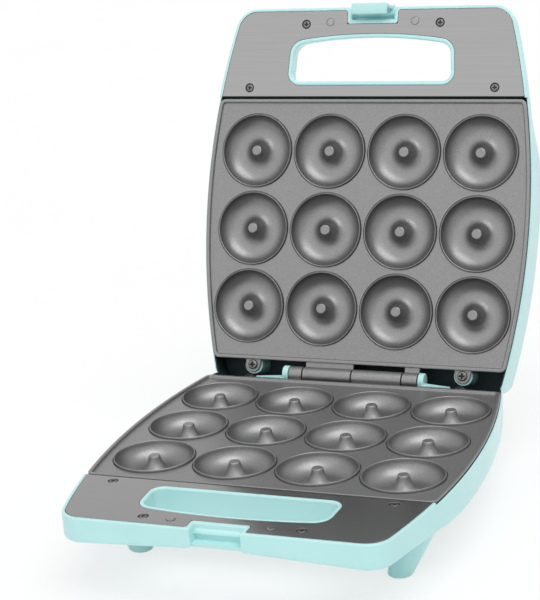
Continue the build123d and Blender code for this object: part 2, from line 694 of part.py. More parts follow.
def terminal_block():
    half, side = BLOCK_LENGTH / 2, BLOCK_WIDTH / 2
    top = block_back - BLOCK_HEIGHT
    body = block(BUSHING_X - half, BUSHING_X + half, block_y - side, block_y + side, top, block_back)
    return body - [terminal_screw(x, SCREW_CLEARANCE) for x in block_screws()]


def bushing_bar(radius, y_low, y_high):
    """A bar along Y through the rear wall, where the cord would pass."""
    plane = Plane(origin=(BUSHING_X, y_low, -BUSHING_LEVEL), x_dir=(1, 0, 0), z_dir=(0, 1, 0))
    return extrude(plane * disc(radius), y_high - y_low)


def cord_bushing():
    """A bush with a flange on each side of the rear wall that lines the cord hole."""
    inner, outer = REAR_WALL - WALL - BUSHING_LIP, REAR_WALL + BUSHING_LIP
    bush = bushing_bar(BUSHING_RADIUS, inner, outer)
    bush += bushing_bar(BUSHING_FLANGE, inner, REAR_WALL - WALL)
    bush += bushing_bar(BUSHING_FLANGE, REAR_WALL, outer)
    return bush - bushing_bar(BUSHING_BORE, inner, outer)


def hinge_pin():
    end = ear_inner + EAR_THICKNESS + PIN_CLIP_THICKNESS
    return cross_rod(-end, end, 0, 0, HINGE_PIN_RADIUS)


def pin_clips():
    """A push-on clip on each end of the hinge pin, against the ears."""
    low = ear_inner + EAR_THICKNESS
    high = low + PIN_CLIP_THICKNESS
    clip = cross_bar(disc(PIN_CLIP_RADIUS) - press_hole(HINGE_PIN_RADIUS), low, high, 0, 0)
    return [clip, mirror(clip, about=Plane.YZ)]


def latch_clip():
    """The lever that swings on the lid and hooks under the catch of the base."""
    outer, inner = shell_front - CLIP_GAP - CLIP_THICKNESS, shell_front - CLIP_GAP
    tip = recess_back - CATCH_PROUD - CLIP_CLEARANCE
    root, half_arm = CLIP_REACH - CLIP_HOOK, CLIP_ARM / 2
    lever = [(outer, -CLIP_TAB), (inner, -CLIP_TAB), (inner, root), (tip, root),
             (tip, root + half_arm / 2), (tip - CLIP_HOOK, CLIP_REACH), (outer, CLIP_REACH)]
    clip = across(lever, CLIP_HALF_WIDTH)
    barrel = disc(CLIP_BARREL, LEG_SIDES)
    clip += cross_bar(barrel, -CLIP_HALF_WIDTH, CLIP_HALF_WIDTH, latch_pin_y, LATCH_PIN_LEVEL)
    clip += block(-CLIP_HALF_WIDTH, CLIP_HALF_WIDTH, inner, latch_pin_y,
                  LATCH_PIN_LEVEL - half_arm, LATCH_PIN_LEVEL + half_arm)
    hole = LATCH_PIN_RADIUS + RUNNING_CLEARANCE
    return clip - cross_rod(-reach, reach, latch_pin_y, LATCH_PIN_LEVEL, hole)


def latch_pin():
    end = RECESS_HALF_WIDTH + LATCH_PIN_BITE
    return cross_rod(-end, end, latch_pin_y, LATCH_PIN_LEVEL, LATCH_PIN_RADIUS)


def lens(x):
    stem = rod(x, lens_y, LENS_RADIUS, LID_HEIGHT - WALL - LENS_STEM, LID_HEIGHT)
    return stem + rod(x, lens_y, LENS_FLANGE, LID_HEIGHT, LID_HEIGHT + LENS_PROUD)


def indicator_lamps():
    bottom = LID_HEIGHT - WALL - LENS_STEM
    return [rod(x, lens_y, LAMP_RADIUS, bottom - LAMP_LENGTH, bottom) for x in (-LENS_X, LENS_X)]


BASE_PIECES = {
    "base_shell": base_shell(),
    "foot_pads": foot_pads(),
    "lower_cooking_plate": cooking_plate(0),
    "lower_plate_screws": plate_screws(),
    "lower_heating_element": heating_element(),
    "lower_element_terminals": element_terminals(),
    "lower_reflector": reflector(),
    "lower_reflector_screws": inner_screw_set(inner_screws()[2:], reflector_back),
    "lower_thermostat": thermostat(),
    "lower_thermostat_screws": inner_screw_set(inner_screws()[:2], ridge_bottom + THERMOSTAT_FLANGE),
    "thermal_fuse": thermal_fuse(),
    "fuse_clip": fuse_clip(),
    "terminal_block": terminal_block(),
    "terminal_block_screws": [terminal_screw(x, 0) for x in block_screws()],
    "cord_bushing": cord_bushing(),
    "base_handle_plate": handle_plate(RECESS_FLOOR),
    "base_handle_screws": handle_screws(),
    "hinge_pin": hinge_pin(),
    "pin_clips": pin_clips(),
}
LID_PIECES = {
    "lid_shell": lid_shell(),
    "upper_cooking_plate": cooking_plate(1),
    "upper_plate_screws": plate_screws(),
    "upper_heating_element": heating_element(),
    "upper_element_terminals": element_terminals(),
    "upper_reflector": reflector(),
    "upper_reflector_screws": inner_screw_set(inner_screws()[2:], reflector_back),
    "upper_thermostat": thermostat(),
    "upper_thermostat_screws": inner_screw_set(inner_screws()[:2], ridge_bottom + THERMOSTAT_FLANGE),
    "lid_handle_plate": handle_plate(LID_RECESS_FLOOR),
    "lid_handle_screws": handle_screws(),
    "power_lens": lens(-LENS_X),
    "ready_lens": lens(LENS_X),
    "indicator_lamps": indicator_lamps(),
    "latch_pin": latch_pin(),
    "latch_clip": latch_clip(),
}


def gather(piece):
    """One shape for a node, whether it holds one solid or a group of them."""
    return Compound(children=[Part(p.wrapped) for p in piece]) if isinstance(piece, list) else piece


def opened(piece):
    """A lid piece, mirrored in the parting plane and swung open about the hinge axis."""
    return Rot(X=-OPEN_ANGLE) * mirror(piece, about=Plane.XY)


nodes = {name: gather(piece) for name, piece in BASE_PIECES.items()}
nodes |= {name: opened(gather(piece)) for name, piece in LID_PIECES.items()}
boxes = [node.bounding_box() for node in nodes.values()]
low_y, high_y = min(box.min.Y for box in boxes), max(box.max.Y for box in boxes)
origin = Pos(0, -(low_y + high_y) / 2, BASE_HEIGHT)

os.makedirs("parts", exist_ok=True)
for name, node in nodes.items():
    export_step(origin * node, f"parts/{name}.step")

print("hinge axis", tuple(origin.position))
pin = (origin * Rot(X=-OPEN_ANGLE) * Pos(0, latch_pin_y, LATCH_PIN_LEVEL)).position
print("latch axis", tuple(pin))
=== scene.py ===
import json
from math import asin, atan2, cos, pi, radians, sin, sqrt, tan

import bmesh
import bpy
from mathutils import Matrix, Vector
from mathutils.geometry import delaunay_2d_cdt


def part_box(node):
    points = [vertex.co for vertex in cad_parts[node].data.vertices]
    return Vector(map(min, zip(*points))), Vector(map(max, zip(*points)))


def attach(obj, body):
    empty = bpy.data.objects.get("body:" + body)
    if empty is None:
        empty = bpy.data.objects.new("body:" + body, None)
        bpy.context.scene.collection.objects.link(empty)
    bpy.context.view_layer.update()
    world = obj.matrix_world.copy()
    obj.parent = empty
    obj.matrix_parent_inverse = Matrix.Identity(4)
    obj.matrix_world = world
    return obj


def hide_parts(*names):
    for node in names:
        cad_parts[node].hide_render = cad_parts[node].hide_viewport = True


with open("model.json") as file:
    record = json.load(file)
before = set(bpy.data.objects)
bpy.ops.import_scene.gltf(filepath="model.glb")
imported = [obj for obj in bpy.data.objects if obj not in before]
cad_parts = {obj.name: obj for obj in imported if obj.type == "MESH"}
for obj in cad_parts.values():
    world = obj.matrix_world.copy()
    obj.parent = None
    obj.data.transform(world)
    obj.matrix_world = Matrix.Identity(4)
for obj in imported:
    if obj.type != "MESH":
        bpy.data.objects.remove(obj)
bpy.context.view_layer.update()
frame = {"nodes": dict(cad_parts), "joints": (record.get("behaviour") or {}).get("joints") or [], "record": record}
nodes = frame["nodes"]

# Every length below is in millimetres, in a frame whose X axis is the hinge axis. Both halves are
# drawn lying open face up, with the handle towards -Y, and the lid's pieces are then mirrored in
# the plane where the halves meet and swung open.
MM = 0.001

# Camera, as found from the photograph
CAMERA_PLACE = (392.659, -1147.919, 429.490)
CAMERA_AZIMUTH = 21.567
CAMERA_ELEVATION = 16.816
CAMERA_ROLL = -4.047
CAMERA_LENS = 106.05
SENSOR = 36

# Light, floor and the part of each noise that a finish runs over
AMBIENT = 0.42
FLOOR_GLOW = 0.7
FLOOR_HALF = 8000.0
NOISE_SPAN = (0.3, 0.7)

# Steps round curves, and the spacing of points on wide surfaces
CORNER_STEPS = 10
SIDE_STEPS = 40
CAVITY_STEPS = 72
BOWL_STEPS = 12
FLARE_STEPS = 8
RIDGE_STEPS = 24
BOW_STEPS = 24
ROLL_STEPS = 6
ROUND_STEPS = 40
TURNED_STEPS = 48
LUG_STEPS = 20
EAR_STEPS = 28
DOME_STEPS = 28
PIN_STEPS = 32
SCREW_STEPS = 32
SHANK_STEPS = 16
VENT_STEPS = 8
TAB_STEPS = 8
LENS_STEPS = 8
BASE_SPACING = 7.0
LID_SPACING = 5.0
BELLY_SPACING = 8.0

# Making of the meshes, with the angles in degrees from which an edge is shaded sharp
MERGE_DISTANCE = 1e-4
PATCH_TOLERANCE = 1e-7
BEVEL_SEGMENTS = 3
SHARP = 38
SHELL_SHARP = 50
SCREW_SHARP = 30

# Plan of the shells and plates
SIDE_RADIUS = 538.0
WIDEST_Y = -122.0
STATION_MARGIN = 1.0
STATION_GAP = 0.1

# Cooking plates
COLUMNS = 4
ROWS = 3
PITCH_X = 57.0
PITCH_Y = 58.0
FIRST_ROW = -49.0
PLATE_INSET = 1.3
PLATE_REAR = -9.4
PLATE_CORNER = 5.0
PLATE_INNER_CORNER = 1.8
PLATE_TOP = 0.4
PLATE_FACE = 2.25
PLATE_SEAT = 1.9
PLATE_GAP = 0.8
PLATE_BACK = 4.65
PLATE_BODY_INSET = 3.4
RIDGE_RADIUS = 27.8
RIDGE_FOOT = 21.4
RIDGE_BOTTOM = 16.75

# Cavities of the plates. The rolls are steps inwards, or outwards for the post, each with its drop.
GROOVE_RADIUS = 27.95
GROOVE_FLOOR = 3.7
GROOVE_DRAFT = 0.1
LIP_RADIUS = 27.25
LIP_TOP = 0.75
LIP_ROLL = [(0.0, 1.15), (0.1, 0.45), (0.23, 0.15), (0.4, 0.0), (0.63, 0.0), (0.85, 0.15), (1.03, 0.55)]
LIP_RINGS = 7
BOWL_RADIUS = 26.2
BOWL_MOUTH = 1.4
BOWL_MIDDLE = 14.2
BOWL_BOTTOM = 12.0
FLARE_WIDTH = 8.3
FLARE_RISE = 6.6
POST_RADIUS = 3.8
POST_ROLL = [(1.7, 5.75), (0.75, 3.55), (0.25, 1.75), (0.0, 0.65), (-0.3, 0.2), (-0.8, 0.0)]

# Hinge knuckles and screw lugs of the plates
KNUCKLE_RADIUS = 5.8
KNUCKLE_EDGES = [-49.0, -38.5, -1.0, 37.0, 49.0]
KNUCKLE_GAP = 0.8
KNUCKLE_ROOT = 1.5
KNUCKLE_END = 0.5
KNUCKLE_END_MIDDLE = 0.15
LUG_X = 80.0
LUG_Y = -5.4
LUG_RADIUS = 5.5
LUG_SPREAD = 1.0
LUG_ROOT = 2.0
LUG_TOP = 3.0
LUG_EDGE = 0.4
LUG_BOTTOM = 5.4

# Handles
HANDLE_REAR = -206.0
HANDLE_FRONT = -269.0
HANDLE_RIM = 2.1
HANDLE_CORNER = 15.0
SHEET_REAR = -205.4
SHEET_THICKNESS = 0.8
SHEET_GAP = 0.2
SHEET_CORNER = 0.5
SHEET_ROLL = 0.25
SHEET_CREASE = 0.08
DOMES = [(-32.3, -260.3), (32.3, -260.3)]
DOME_RADIUS = 2.7
DOME_RISE = 0.36
GRIP_REAR = -216.6
GRIP_FRONT = -248.6
GRIP_HALF_WIDTH = 61.2
GRIP_TAPER = 1.9
GRIP_BOW = 5.2
GRIP_BOW_SHARE = 0.75
GRIP_REAR_CORNER = 6.3
GRIP_FRONT_CORNER = 8.3
SLEEVE_RIM = 2.8
SLEEVE_TOP = 0.12
BASE_GRIP_EDGE = 0.5
BASE_GRIP_DRAFT = 0.0
LID_GRIP_EDGE = 2.4
LID_GRIP_DRAFT = 2.4

# Shells
SHELL_FRONT = -271.1
WALL = 2.6
REAR_WALL = 6.5
FRONT_CORNER = 17.0
REAR_CORNER = 10.0
RIM_DEPTH = 1.5
DECK_REAR = -204.75
STOP_GAP = 0.3
INNER_FLOOR = 22.4
INNER_EDGE_SHARE = 0.75
BAND_HEIGHT = 25.0
BASE_HEIGHT = 57.0
BASE_EDGE = 3.0
BASE_SWEEP = 100.0
LID_HEIGHT = 40.0
LID_EDGE = 9.5
LID_SWEEP = 50.0
SWEEP_START = 53.5
HANDLE_THICKNESS = 17.7
LID_HANDLE_THICKNESS = 17.68
ARCH_RISE = 3.7
ARCH_HALF_SPAN = 94.0
BOSS_RADIUS = 6.8
EAR_INNER = 49.3
EAR_THICKNESS = 4.4
EAR_RADIUS = 6.0
EAR_BACK = 3.5
EAR_START = -0.7  # radians
EAR_END = 0.6
EAR_END_MIDDLE = 0.2
LEDGE_TOP = 0.8
LEDGE_FRONT = -7.0
LEDGE_NEAR_REAR = -1.0
LEDGE_FAR_REAR = -5.6
LEDGE_SINK = 1.0
LEDGE_ROOM = 1.0

# Latch, and the recess for it at the front of both handles
RECESS_HALF_WIDTH = 16.2
RECESS_BACK = -261.9
RECESS_WALL = 2.9
RECESS_CORNER = 0.8
RECESS_CORNER_GROWTH = 0.4
RECESS_CUT_SHARE = 0.3
RECESS_FLOOR = 13.3
RECESS_SILL = 2.5
LID_RECESS_FLOOR = 14.5
LOWEST_FLOOR_SHARE = 0.96
FLOOR_SLOPE_SHARE = 0.02
CATCH_PROUD = 1.4
CATCH_ROOT = 1.0
CATCH_TOP = 3.6
CATCH_HEIGHT = 3.2
CLIP_HALF_WIDTH = 13.4
CLIP_PLAY = 0.15
CLIP_PROUD = 1.0
CLIP_FLARE = 2.9
CLIP_NOSE = 4.6
CLIP_THICKNESS = 2.4
CLIP_TAB = 11.8
CLIP_REACH = 9.3
CLIP_HOOK = 2.1
CLIP_HOOK_EDGE = 0.8
CLIP_BEHIND = 2.4
CLIP_BARREL = 2.6
CLIP_BEVEL = 0.5
ARM_SINK = 1.0
ARM_HALF_HEIGHT = 1.6
LATCH_PIN_BEHIND = 3.7
LATCH_PIN_LEVEL = 8.0
LATCH_PIN_SINK = 0.5

# Belly under the base
BELLY_INSET = 10.0
BELLY_DEPTH = 40.0
BELLY_SINK = 8.0
BELLY_FRONT = 12.5
BELLY_REAR = 6.0
BELLY_CORNER = 20.0
BELLY_EDGE = 5.0
BELLY_TURN = -120.0
BELLY_RAMP = 15.0
VENT_COUNT = 6
VENT_PITCH = 10.0
VENT_WIDTH = 3.0
VENT_REACH = 34.0

# Legs and pads
LEG_FOOT_RADIUS = 8.0
LEG_TOP_RADIUS = 15.0
LEG_TOP_LEVEL = 15.0
LEG_FOOT_INSET = 31.5
LEG_TOP_INSET = 16.5
LEG_FRONT = 12.5
LEG_REAR = 14.6
LEG_RAKE = 5.0
LEG_RINGS = 7
LEG_RING_PITCH = 6.0
LEG_EDGE = 1.3
PAD_PROUD = 0.5
PAD_RADIUS = 6.5
PAD_SINK = 3.0
PAD_GROOVE_DEPTH = 0.4

# Lenses and inlet
LENS_X = 11.0
LENS_Y = -137.5
LENS_RADIUS = 4.0
LENS_FLANGE = 5.2
LENS_SINK = 3.0
LENS_SHOULDER = 0.55
LENS_PROUD = 1.2
BUSHING_X = -60.0
BUSHING_LEVEL = 16.5
BUSHING_BORE = 3.4
BUSHING_FLANGE = 5.6
BUSHING_LIP = 1.6
BUSHING_EDGE = 0.5
BUSHING_SINK = 0.2
BUSHING_FLOOR = 0.05

# Screws. The cross and the outline of a head are shares of its radius and rise.
HANDLE_SCREWS = [(-93.6, -211.8), (93.6, -211.8), (-51.1, -259.0), (51.1, -259.0)]
HANDLE_SCREW_HOLE = 3.35
HANDLE_SCREW_HEAD = 2.6
HANDLE_SCREW_SEAT = 1.0
HANDLE_SCREW_RISE = 0.6
LUG_SCREW_HEAD = 3.6
LUG_SCREW_RISE = 2.0
SHANK_RADIUS = 1.5
SHANK_LENGTH = 8.0
HEAD_OUTLINE = [(1.0, 1.0), (1.0, 0.55), (0.95, 0.28), (0.82, 0.08), (0.72, 0.0)]
CROSS_REACH = 0.6
CROSS_HALF = 0.19
CROSS_FLOOR_REACH = 0.44
CROSS_FLOOR_HALF = 0.13
CROSS_DEPTH = 0.4

lid_hinge = next(joint for joint in frame["joints"] if joint["name"] == "lid_hinge")
HINGE = Vector(lid_hinge["pos_m"])
OPEN_ANGLE = lid_hinge["range_deg"][1]
BASE = Matrix.Translation(HINGE) @ Matrix.Scale(MM, 4)
LID = BASE @ Matrix.Rotation(radians(-OPEN_ANGLE), 4, "X") @ Matrix.Scale(-1, 4, (0, 0, 1))
HALF_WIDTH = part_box("base_shell")[1].x / MM
PLATE_FRONT = (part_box("lower_cooking_plate")[0].y - HINGE.y) / MM
STOP_SLOPE = tan(radians(OPEN_ANGLE / 2))


def linear(red, green, blue):
    """A display colour from 0 to 255, as scene-linear values."""
    def channel(value):
        value /= 255
        return value / 12.92 if value <= 0.04045 else ((value + 0.055) / 1.055) ** 2.4
    return channel(red), channel(green), channel(blue), 1.0


class Shader:
    """A node material under construction, with short calls for the nodes that repeat."""

    def __init__(self, name):
        self.material = bpy.data.materials.new(name)
        self.material.use_nodes = True
        self.tree = self.material.node_tree
        self.surface = self.tree.nodes["Principled BSDF"]
        self.place = self.node("ShaderNodeTexCoord").outputs["Object"]

    def node(self, kind, **settings):
        made = self.tree.nodes.new(kind)
        for key, value in settings.items():
            setattr(made, key, value)
        return made

    def link(self, source, target):
        self.tree.links.new(source, target)

    def set(self, **values):
        for key, value in values.items():
            self.surface.inputs[key.replace("_", " ")].default_value = value

    def noise(self, scale, detail=4.0, stretch=(1, 1, 1)):
        """Noise in object space, with this many cells to a metre along each axis."""
        mapping = self.node("ShaderNodeMapping")
        mapping.inputs["Scale"].default_value = stretch
        self.link(self.place, mapping.inputs["Vector"])
        made = self.node("ShaderNodeTexNoise")
        made.inputs["Scale"].default_value = scale
        made.inputs["Detail"].default_value = detail
        self.link(mapping.outputs["Vector"], made.inputs["Vector"])
        return made.outputs["Fac"]

    def ramp(self, source, low, high):
        """A ramp between two colours over the middle range of a noise."""
        made = self.node("ShaderNodeValToRGB")
        for element, position, colour in zip(made.color_ramp.elements, NOISE_SPAN, (low, high)):
            element.position = position
            element.color = colour
        self.link(source, made.inputs["Fac"])
        return made.outputs["Color"]

    def colour(self, source, low, high):
        """The surface's colour, between two display colours."""
        self.link(self.ramp(source, linear(*low), linear(*high)), self.surface.inputs["Base Color"])

    def roughness(self, source, low, high):
        greys = [(value, value, value, 1) for value in (low, high)]
        self.link(self.ramp(source, *greys), self.surface.inputs["Roughness"])

    def bump(self, source, depth, strength):
        """Relief of this depth in millimetres."""
        made = self.node("ShaderNodeBump")
        made.inputs["Strength"].default_value = strength
        made.inputs["Distance"].default_value = depth * MM
        self.link(source, made.inputs["Height"])
        self.link(made.outputs["Normal"], self.surface.inputs["Normal"])


def mint_plastic():
    """Glossy moulded plastic with a faint waver in its colour."""
    shader = Shader("mint_plastic")
    shader.colour(shader.noise(30), (186, 231, 231), (190, 235, 235))
    shader.roughness(shader.noise(220), 0.17, 0.22)
    shader.bump(shader.noise(500, 2), 0.004, 0.05)
    shader.set(IOR=1.5)
    return shader.material


def nonstick(name, smooth, metallic):
    """A speckled dark coat on a casting, from its least roughness and its share of metal."""
    shader = Shader(name)
    speckle = shader.noise(1300, 3)
    shader.colour(speckle, (122, 122, 122), (140, 140, 140))
    shader.roughness(shader.noise(500, 3), smooth, smooth + 0.07)
    shader.bump(speckle, 0.02, 0.25)
    shader.set(Metallic=metallic)
    return shader.material


def brushed_steel():
    """Dark steel with a fine grain along the hinge."""
    shader = Shader("brushed_plate")
    grain = shader.noise(1000, 2, (0.015, 3, 3))
    shader.colour(grain, (139, 138, 138), (145, 144, 144))
    shader.roughness(grain, 0.2, 0.26)
    shader.bump(grain, 0.004, 0.2)
    shader.set(Metallic=1.0)
    return shader.material


def plain(name, low, high, scale, rough, metallic=0.0):
    """A finish that wavers between two display colours, with the scale of its noise."""
    shader = Shader(name)
    shader.colour(shader.noise(scale), low, high)
    shader.roughness(shader.noise(scale * 3), rough - 0.06, rough + 0.06)
    shader.bump(shader.noise(scale * 6), 0.01, 0.3)
    shader.set(Metallic=metallic)
    return shader.material


def glass(name, low, high):
    """A half clear finish between two display colours."""
    shader = Shader(name)
    shader.colour(shader.noise(400), low, high)
    shader.roughness(shader.noise(900), 0.12, 0.2)
    shader.set(Transmission_Weight=0.5, IOR=1.49)
    return shader.material


FINISHES = {
    "mint_plastic": mint_plastic(),
    "nonstick_aluminium": nonstick("nonstick_face", 0.36, 0.65),
    "bowls": nonstick("nonstick_bowls", 0.38, 0.92),
    "brushed_plate": brushed_steel(),
    # Painted shade: a dark navy for the insides of the shells, the deck under the steel plates, slot bottoms,
    # cross recesses and the inlet's bore, where the real parts are only in shade
    "inside": plain("shaded_inside", (18, 36, 40), (26, 46, 50), 60, 0.7),
    "dark_screw": plain("dark_screw", (104, 102, 101), (124, 122, 121), 900, 0.4, 1.0),
    "bright_screw": plain("bright_screw", (176, 174, 172), (196, 194, 192), 900, 0.3, 1.0),
    "hinge_steel": plain("hinge_steel", (150, 148, 146), (170, 168, 166), 700, 0.35, 1.0),
    "foot_rubber": plain("foot_rubber", (48, 48, 50), (58, 58, 60), 1400, 0.8),
    "element_tube": plain("element_tube", (92, 86, 80), (118, 110, 102), 300, 0.5, 0.9),
    "ceramic": plain("ceramic", (226, 222, 212), (236, 232, 224), 500, 0.6),
    "reflector_sheet": plain("reflector_sheet", (182, 182, 184), (202, 202, 204), 120, 0.35, 1.0),
    "thermostat_body": plain("thermostat_body", (60, 44, 34), (72, 54, 42), 400, 0.55),
    "fuse_case": plain("fuse_case", (206, 200, 186), (216, 210, 198), 500, 0.5),
    "block_plastic": plain("block_plastic", (214, 212, 204), (224, 222, 214), 300, 0.55),
    "bushing_rubber": plain("bushing_rubber", (222, 226, 224), (232, 236, 234), 900, 0.6),
    "red_lens": glass("red_lens", (196, 30, 24), (214, 40, 32)),
    "green_lens": glass("green_lens", (30, 150, 70), (44, 170, 86)),
    "lamp_glass": glass("lamp_glass", (236, 226, 206), (244, 236, 220)),
}


def dress(thing, slot):
    """Gives a piece the finish of one material slot."""
    thing.data.materials.clear()
    thing.data.materials.append(FINISHES[slot])


class Form:
    """A mesh under construction. Depths are positive below the plane where the halves meet."""

    def __init__(self):
        self.points = []
        self.faces = []
        self.coats = []
        self.coat = 0

    def face(self, corners):
        """A face in the coat in hand: 0 for the finish of the piece, 1 for its second finish, which is the painted
        shade of the inside finish unless the piece names another.
        """
        self.faces.append(tuple(corners))
        self.coats.append(self.coat)

    def row(self, points):
        """A row of points anywhere in space."""
        start = len(self.points)
        self.points += points
        return list(range(start, len(self.points)))

    def loop(self, plan, depth):
        """A row of points over a plan, at one depth or at a depth that depends on the place."""
        level = depth if callable(depth) else lambda x, y: depth
        return self.row([(x, y, -level(x, y)) for x, y in plan])

    def rings(self, x, y, profile, steps):
        """Round rows about an upright axis, from radius and depth."""
        return [self.loop(circle(x, y, radius, steps), depth) for radius, depth in profile]

    def skin(self, *loops):
        """Quads between each closed row and the next."""
        for first, second in zip(loops, loops[1:]):
            count = len(first)
            for here in range(count):
                there = (here + 1) % count
                self.face((first[here], first[there], second[there], second[here]))

    def cap(self, loop):
        """One face over a row of points."""
        self.face(loop)

    def solid(self, loops):
        """A skin over rows of points, closed at both ends."""
        self.skin(*loops)
        self.cap(loops[0])
        self.cap(loops[-1])

    def patch(self, outer, holes=(), depth=None, step=None):
        """A surface between an outer row and the holes in it, as seen from above."""
        loops = [outer, *holes]
        known = [index for loop in loops for index in loop]
        plan = [Vector(self.points[index][:2]) for index in known]
        edges, start = [], 0
        for loop in loops:
            ring = range(start, start + len(loop))
            edges += list(zip(ring, [*ring[1:], ring[0]]))
            start += len(loop)
        rings = [[self.points[index][:2] for index in loop] for loop in loops]

        def inside(x, y):
            return contains(rings[0], x, y) and not any(contains(ring, x, y) for ring in rings[1:])

        if step:
            xs, ys = [x for x, _ in rings[0]], [y for _, y in rings[0]]
            for column in range(1, int((max(xs) - min(xs)) / step)):
                for line in range(1, int((max(ys) - min(ys)) / step)):
                    x, y = min(xs) + column * step, min(ys) + line * step
                    if inside(x, y):
                        known.append(len(self.points))
                        self.points.append((x, y, -depth(x, y)))
                        plan.append(Vector((x, y)))
        _, _, triangles, origins, _, _ = delaunay_2d_cdt(plan, edges, [], 0, PATCH_TOLERANCE)
        for triangle in triangles:
            corners = [known[origins[corner][0]] for corner in triangle]
            x, y = (sum(self.points[corner][axis] for corner in corners) / 3 for axis in (0, 1))
            if inside(x, y):
                self.face(corners)

    def finish(self, name, body, slot, place, replaced, sharp=SHARP, bevel=0, second="inside"):
        """Makes the mesh an object in its finish, riding on its body."""
        mesh = bpy.data.meshes.new(name)
        mesh.from_pydata(self.points, [], self.faces)
        work = bmesh.new()
        work.from_mesh(mesh)
        for face, coat in zip(work.faces, self.coats):
            face.material_index = coat
        bmesh.ops.remove_doubles(work, verts=work.verts, dist=MERGE_DISTANCE)
        bmesh.ops.transform(work, matrix=place, verts=work.verts)
        bmesh.ops.recalc_face_normals(work, faces=work.faces)
        work.to_mesh(mesh)
        work.free()
        mesh.shade_smooth()
        mesh.set_sharp_from_angle(angle=radians(sharp))
        piece = bpy.data.objects.new(name, mesh)
        bpy.context.scene.collection.objects.link(piece)
        if bevel:
            edges = piece.modifiers.new("soft_edges", "BEVEL")
            edges.width = bevel * MM
            edges.segments = BEVEL_SEGMENTS
            edges.angle_limit = radians(sharp)
        piece.modifiers.new("flat_faces", "WEIGHTED_NORMAL").keep_sharp = True
        mesh.materials.append(FINISHES[slot])
        # The second slot: painted shade unless another finish is named, as for the bowls of the plates
        if 1 in self.coats:
            mesh.materials.append(FINISHES[second])
        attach(piece, body)
        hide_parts(*replaced)


def contains(ring, x, y):
    """Whether a closed plan holds a point."""
    inside = False
    for (ax, ay), (bx, by) in zip(ring, ring[1:] + ring[:1]):
        if (ay > y) != (by > y) and x < ax + (y - ay) * (bx - ax) / (by - ay):
            inside = not inside
    return inside


def clamped(value):
    """A share kept between nothing and one."""
    return min(max(value, 0.0), 1.0)


def prism(form, profile, low, high):
    """A side profile of Y and Z made solid between two places along the hinge."""
    form.solid([form.row([(x, y, z) for y, z in profile]) for x in (low, high)])


def soft_ended(section, low, high, end, middle):
    """Sections between two places along the hinge, shrunk towards both so that the ends are round."""
    soft = [(0.0, end), (middle, middle), (end, 0.0)]
    rows = [section(low + along, shrink) for along, shrink in soft]
    return rows + [section(high - along, shrink) for along, shrink in reversed(soft)]


def turned(form, x, y, profile):
    """A round form about an upright axis, from radius and depth, closed at both ends."""
    form.solid(form.rings(x, y, profile, TURNED_STEPS))


def arc(centre, radius, start, end, steps):
    """Points on an arc between two angles in radians, both ends included."""
    angles = [start + (end - start) * step / steps for step in range(steps + 1)]
    return [(centre[0] + radius * cos(angle), centre[1] + radius * sin(angle)) for angle in angles]


def circle(x, y, radius, steps):
    return arc((x, y), radius, 0, 2 * pi * (1 - 1 / steps), steps - 1)


def slot_plan(reach, y, radius, steps):
    """A plan with straight sides and round ends, reaching equally far to both sides."""
    right = arc((reach, y), radius, -pi / 2, pi / 2, steps)
    left = arc((-reach, y), radius, pi / 2, 3 * pi / 2, steps)
    return right + left


def mirrored(right):
    """A closed plan from its right half, which runs from the front to the rear."""
    return right + [(-x, y) for x, y in reversed(right)]


def outline(inset, front, rear, front_radius, rear_radius, stations=None):
    """Right half of a plan with a straight front and rear, a bowed side and round corners."""
    side, centre = SIDE_RADIUS - inset, HALF_WIDTH - SIDE_RADIUS
    corners = []
    for y, radius in ((front + front_radius, front_radius), (rear - rear_radius, rear_radius)):
        x = centre + sqrt((side - radius) ** 2 - (y - WIDEST_Y) ** 2)
        corners.append(((x, y), radius, atan2(y - WIDEST_Y, x - centre)))
    (near, near_radius, near_angle), (far, far_radius, far_angle) = corners
    bow = arc((centre, WIDEST_Y), side, near_angle, far_angle, SIDE_STEPS)[1:-1]
    if stations:
        bow = [(centre + sqrt(side**2 - (y - WIDEST_Y) ** 2), y) for y in stations]
    return [
        *arc(near, near_radius, -pi / 2, near_angle, CORNER_STEPS),
        *bow,
        *arc(far, far_radius, far_angle, pi / 2, CORNER_STEPS),
    ]


def rounded(corners):
    """A closed plan from corners given as x, y and radius, going anticlockwise."""
    points = []
    for index, (x, y, radius) in enumerate(corners):
        if radius == 0:
            points.append((x, y))
            continue
        here = Vector((x, y))
        before = (Vector(corners[index - 1][:2]) - here).normalized()
        after = (Vector(corners[(index + 1) % len(corners)][:2]) - here).normalized()
        half = before.angle(after) / 2
        centre = here + (before + after).normalized() * radius / sin(half)
        reach = radius * cos(half) / sin(half)
        first, last = here + before * reach - centre, here + after * reach - centre
        start, end = atan2(first.y, first.x), atan2(last.y, last.x)
        turn = (end - start + pi) % (2 * pi) - pi
        points += arc(centre, radius, start, start + turn, CORNER_STEPS)
    return points


def rolled(radius):
    """Inset and height above the underside along a rounded edge of this radius."""
    turns = [step * pi / 2 / ROLL_STEPS for step in range(ROLL_STEPS + 1)]
    return [(radius * (1 - cos(turn)), radius * (1 - sin(turn))) for turn in turns]


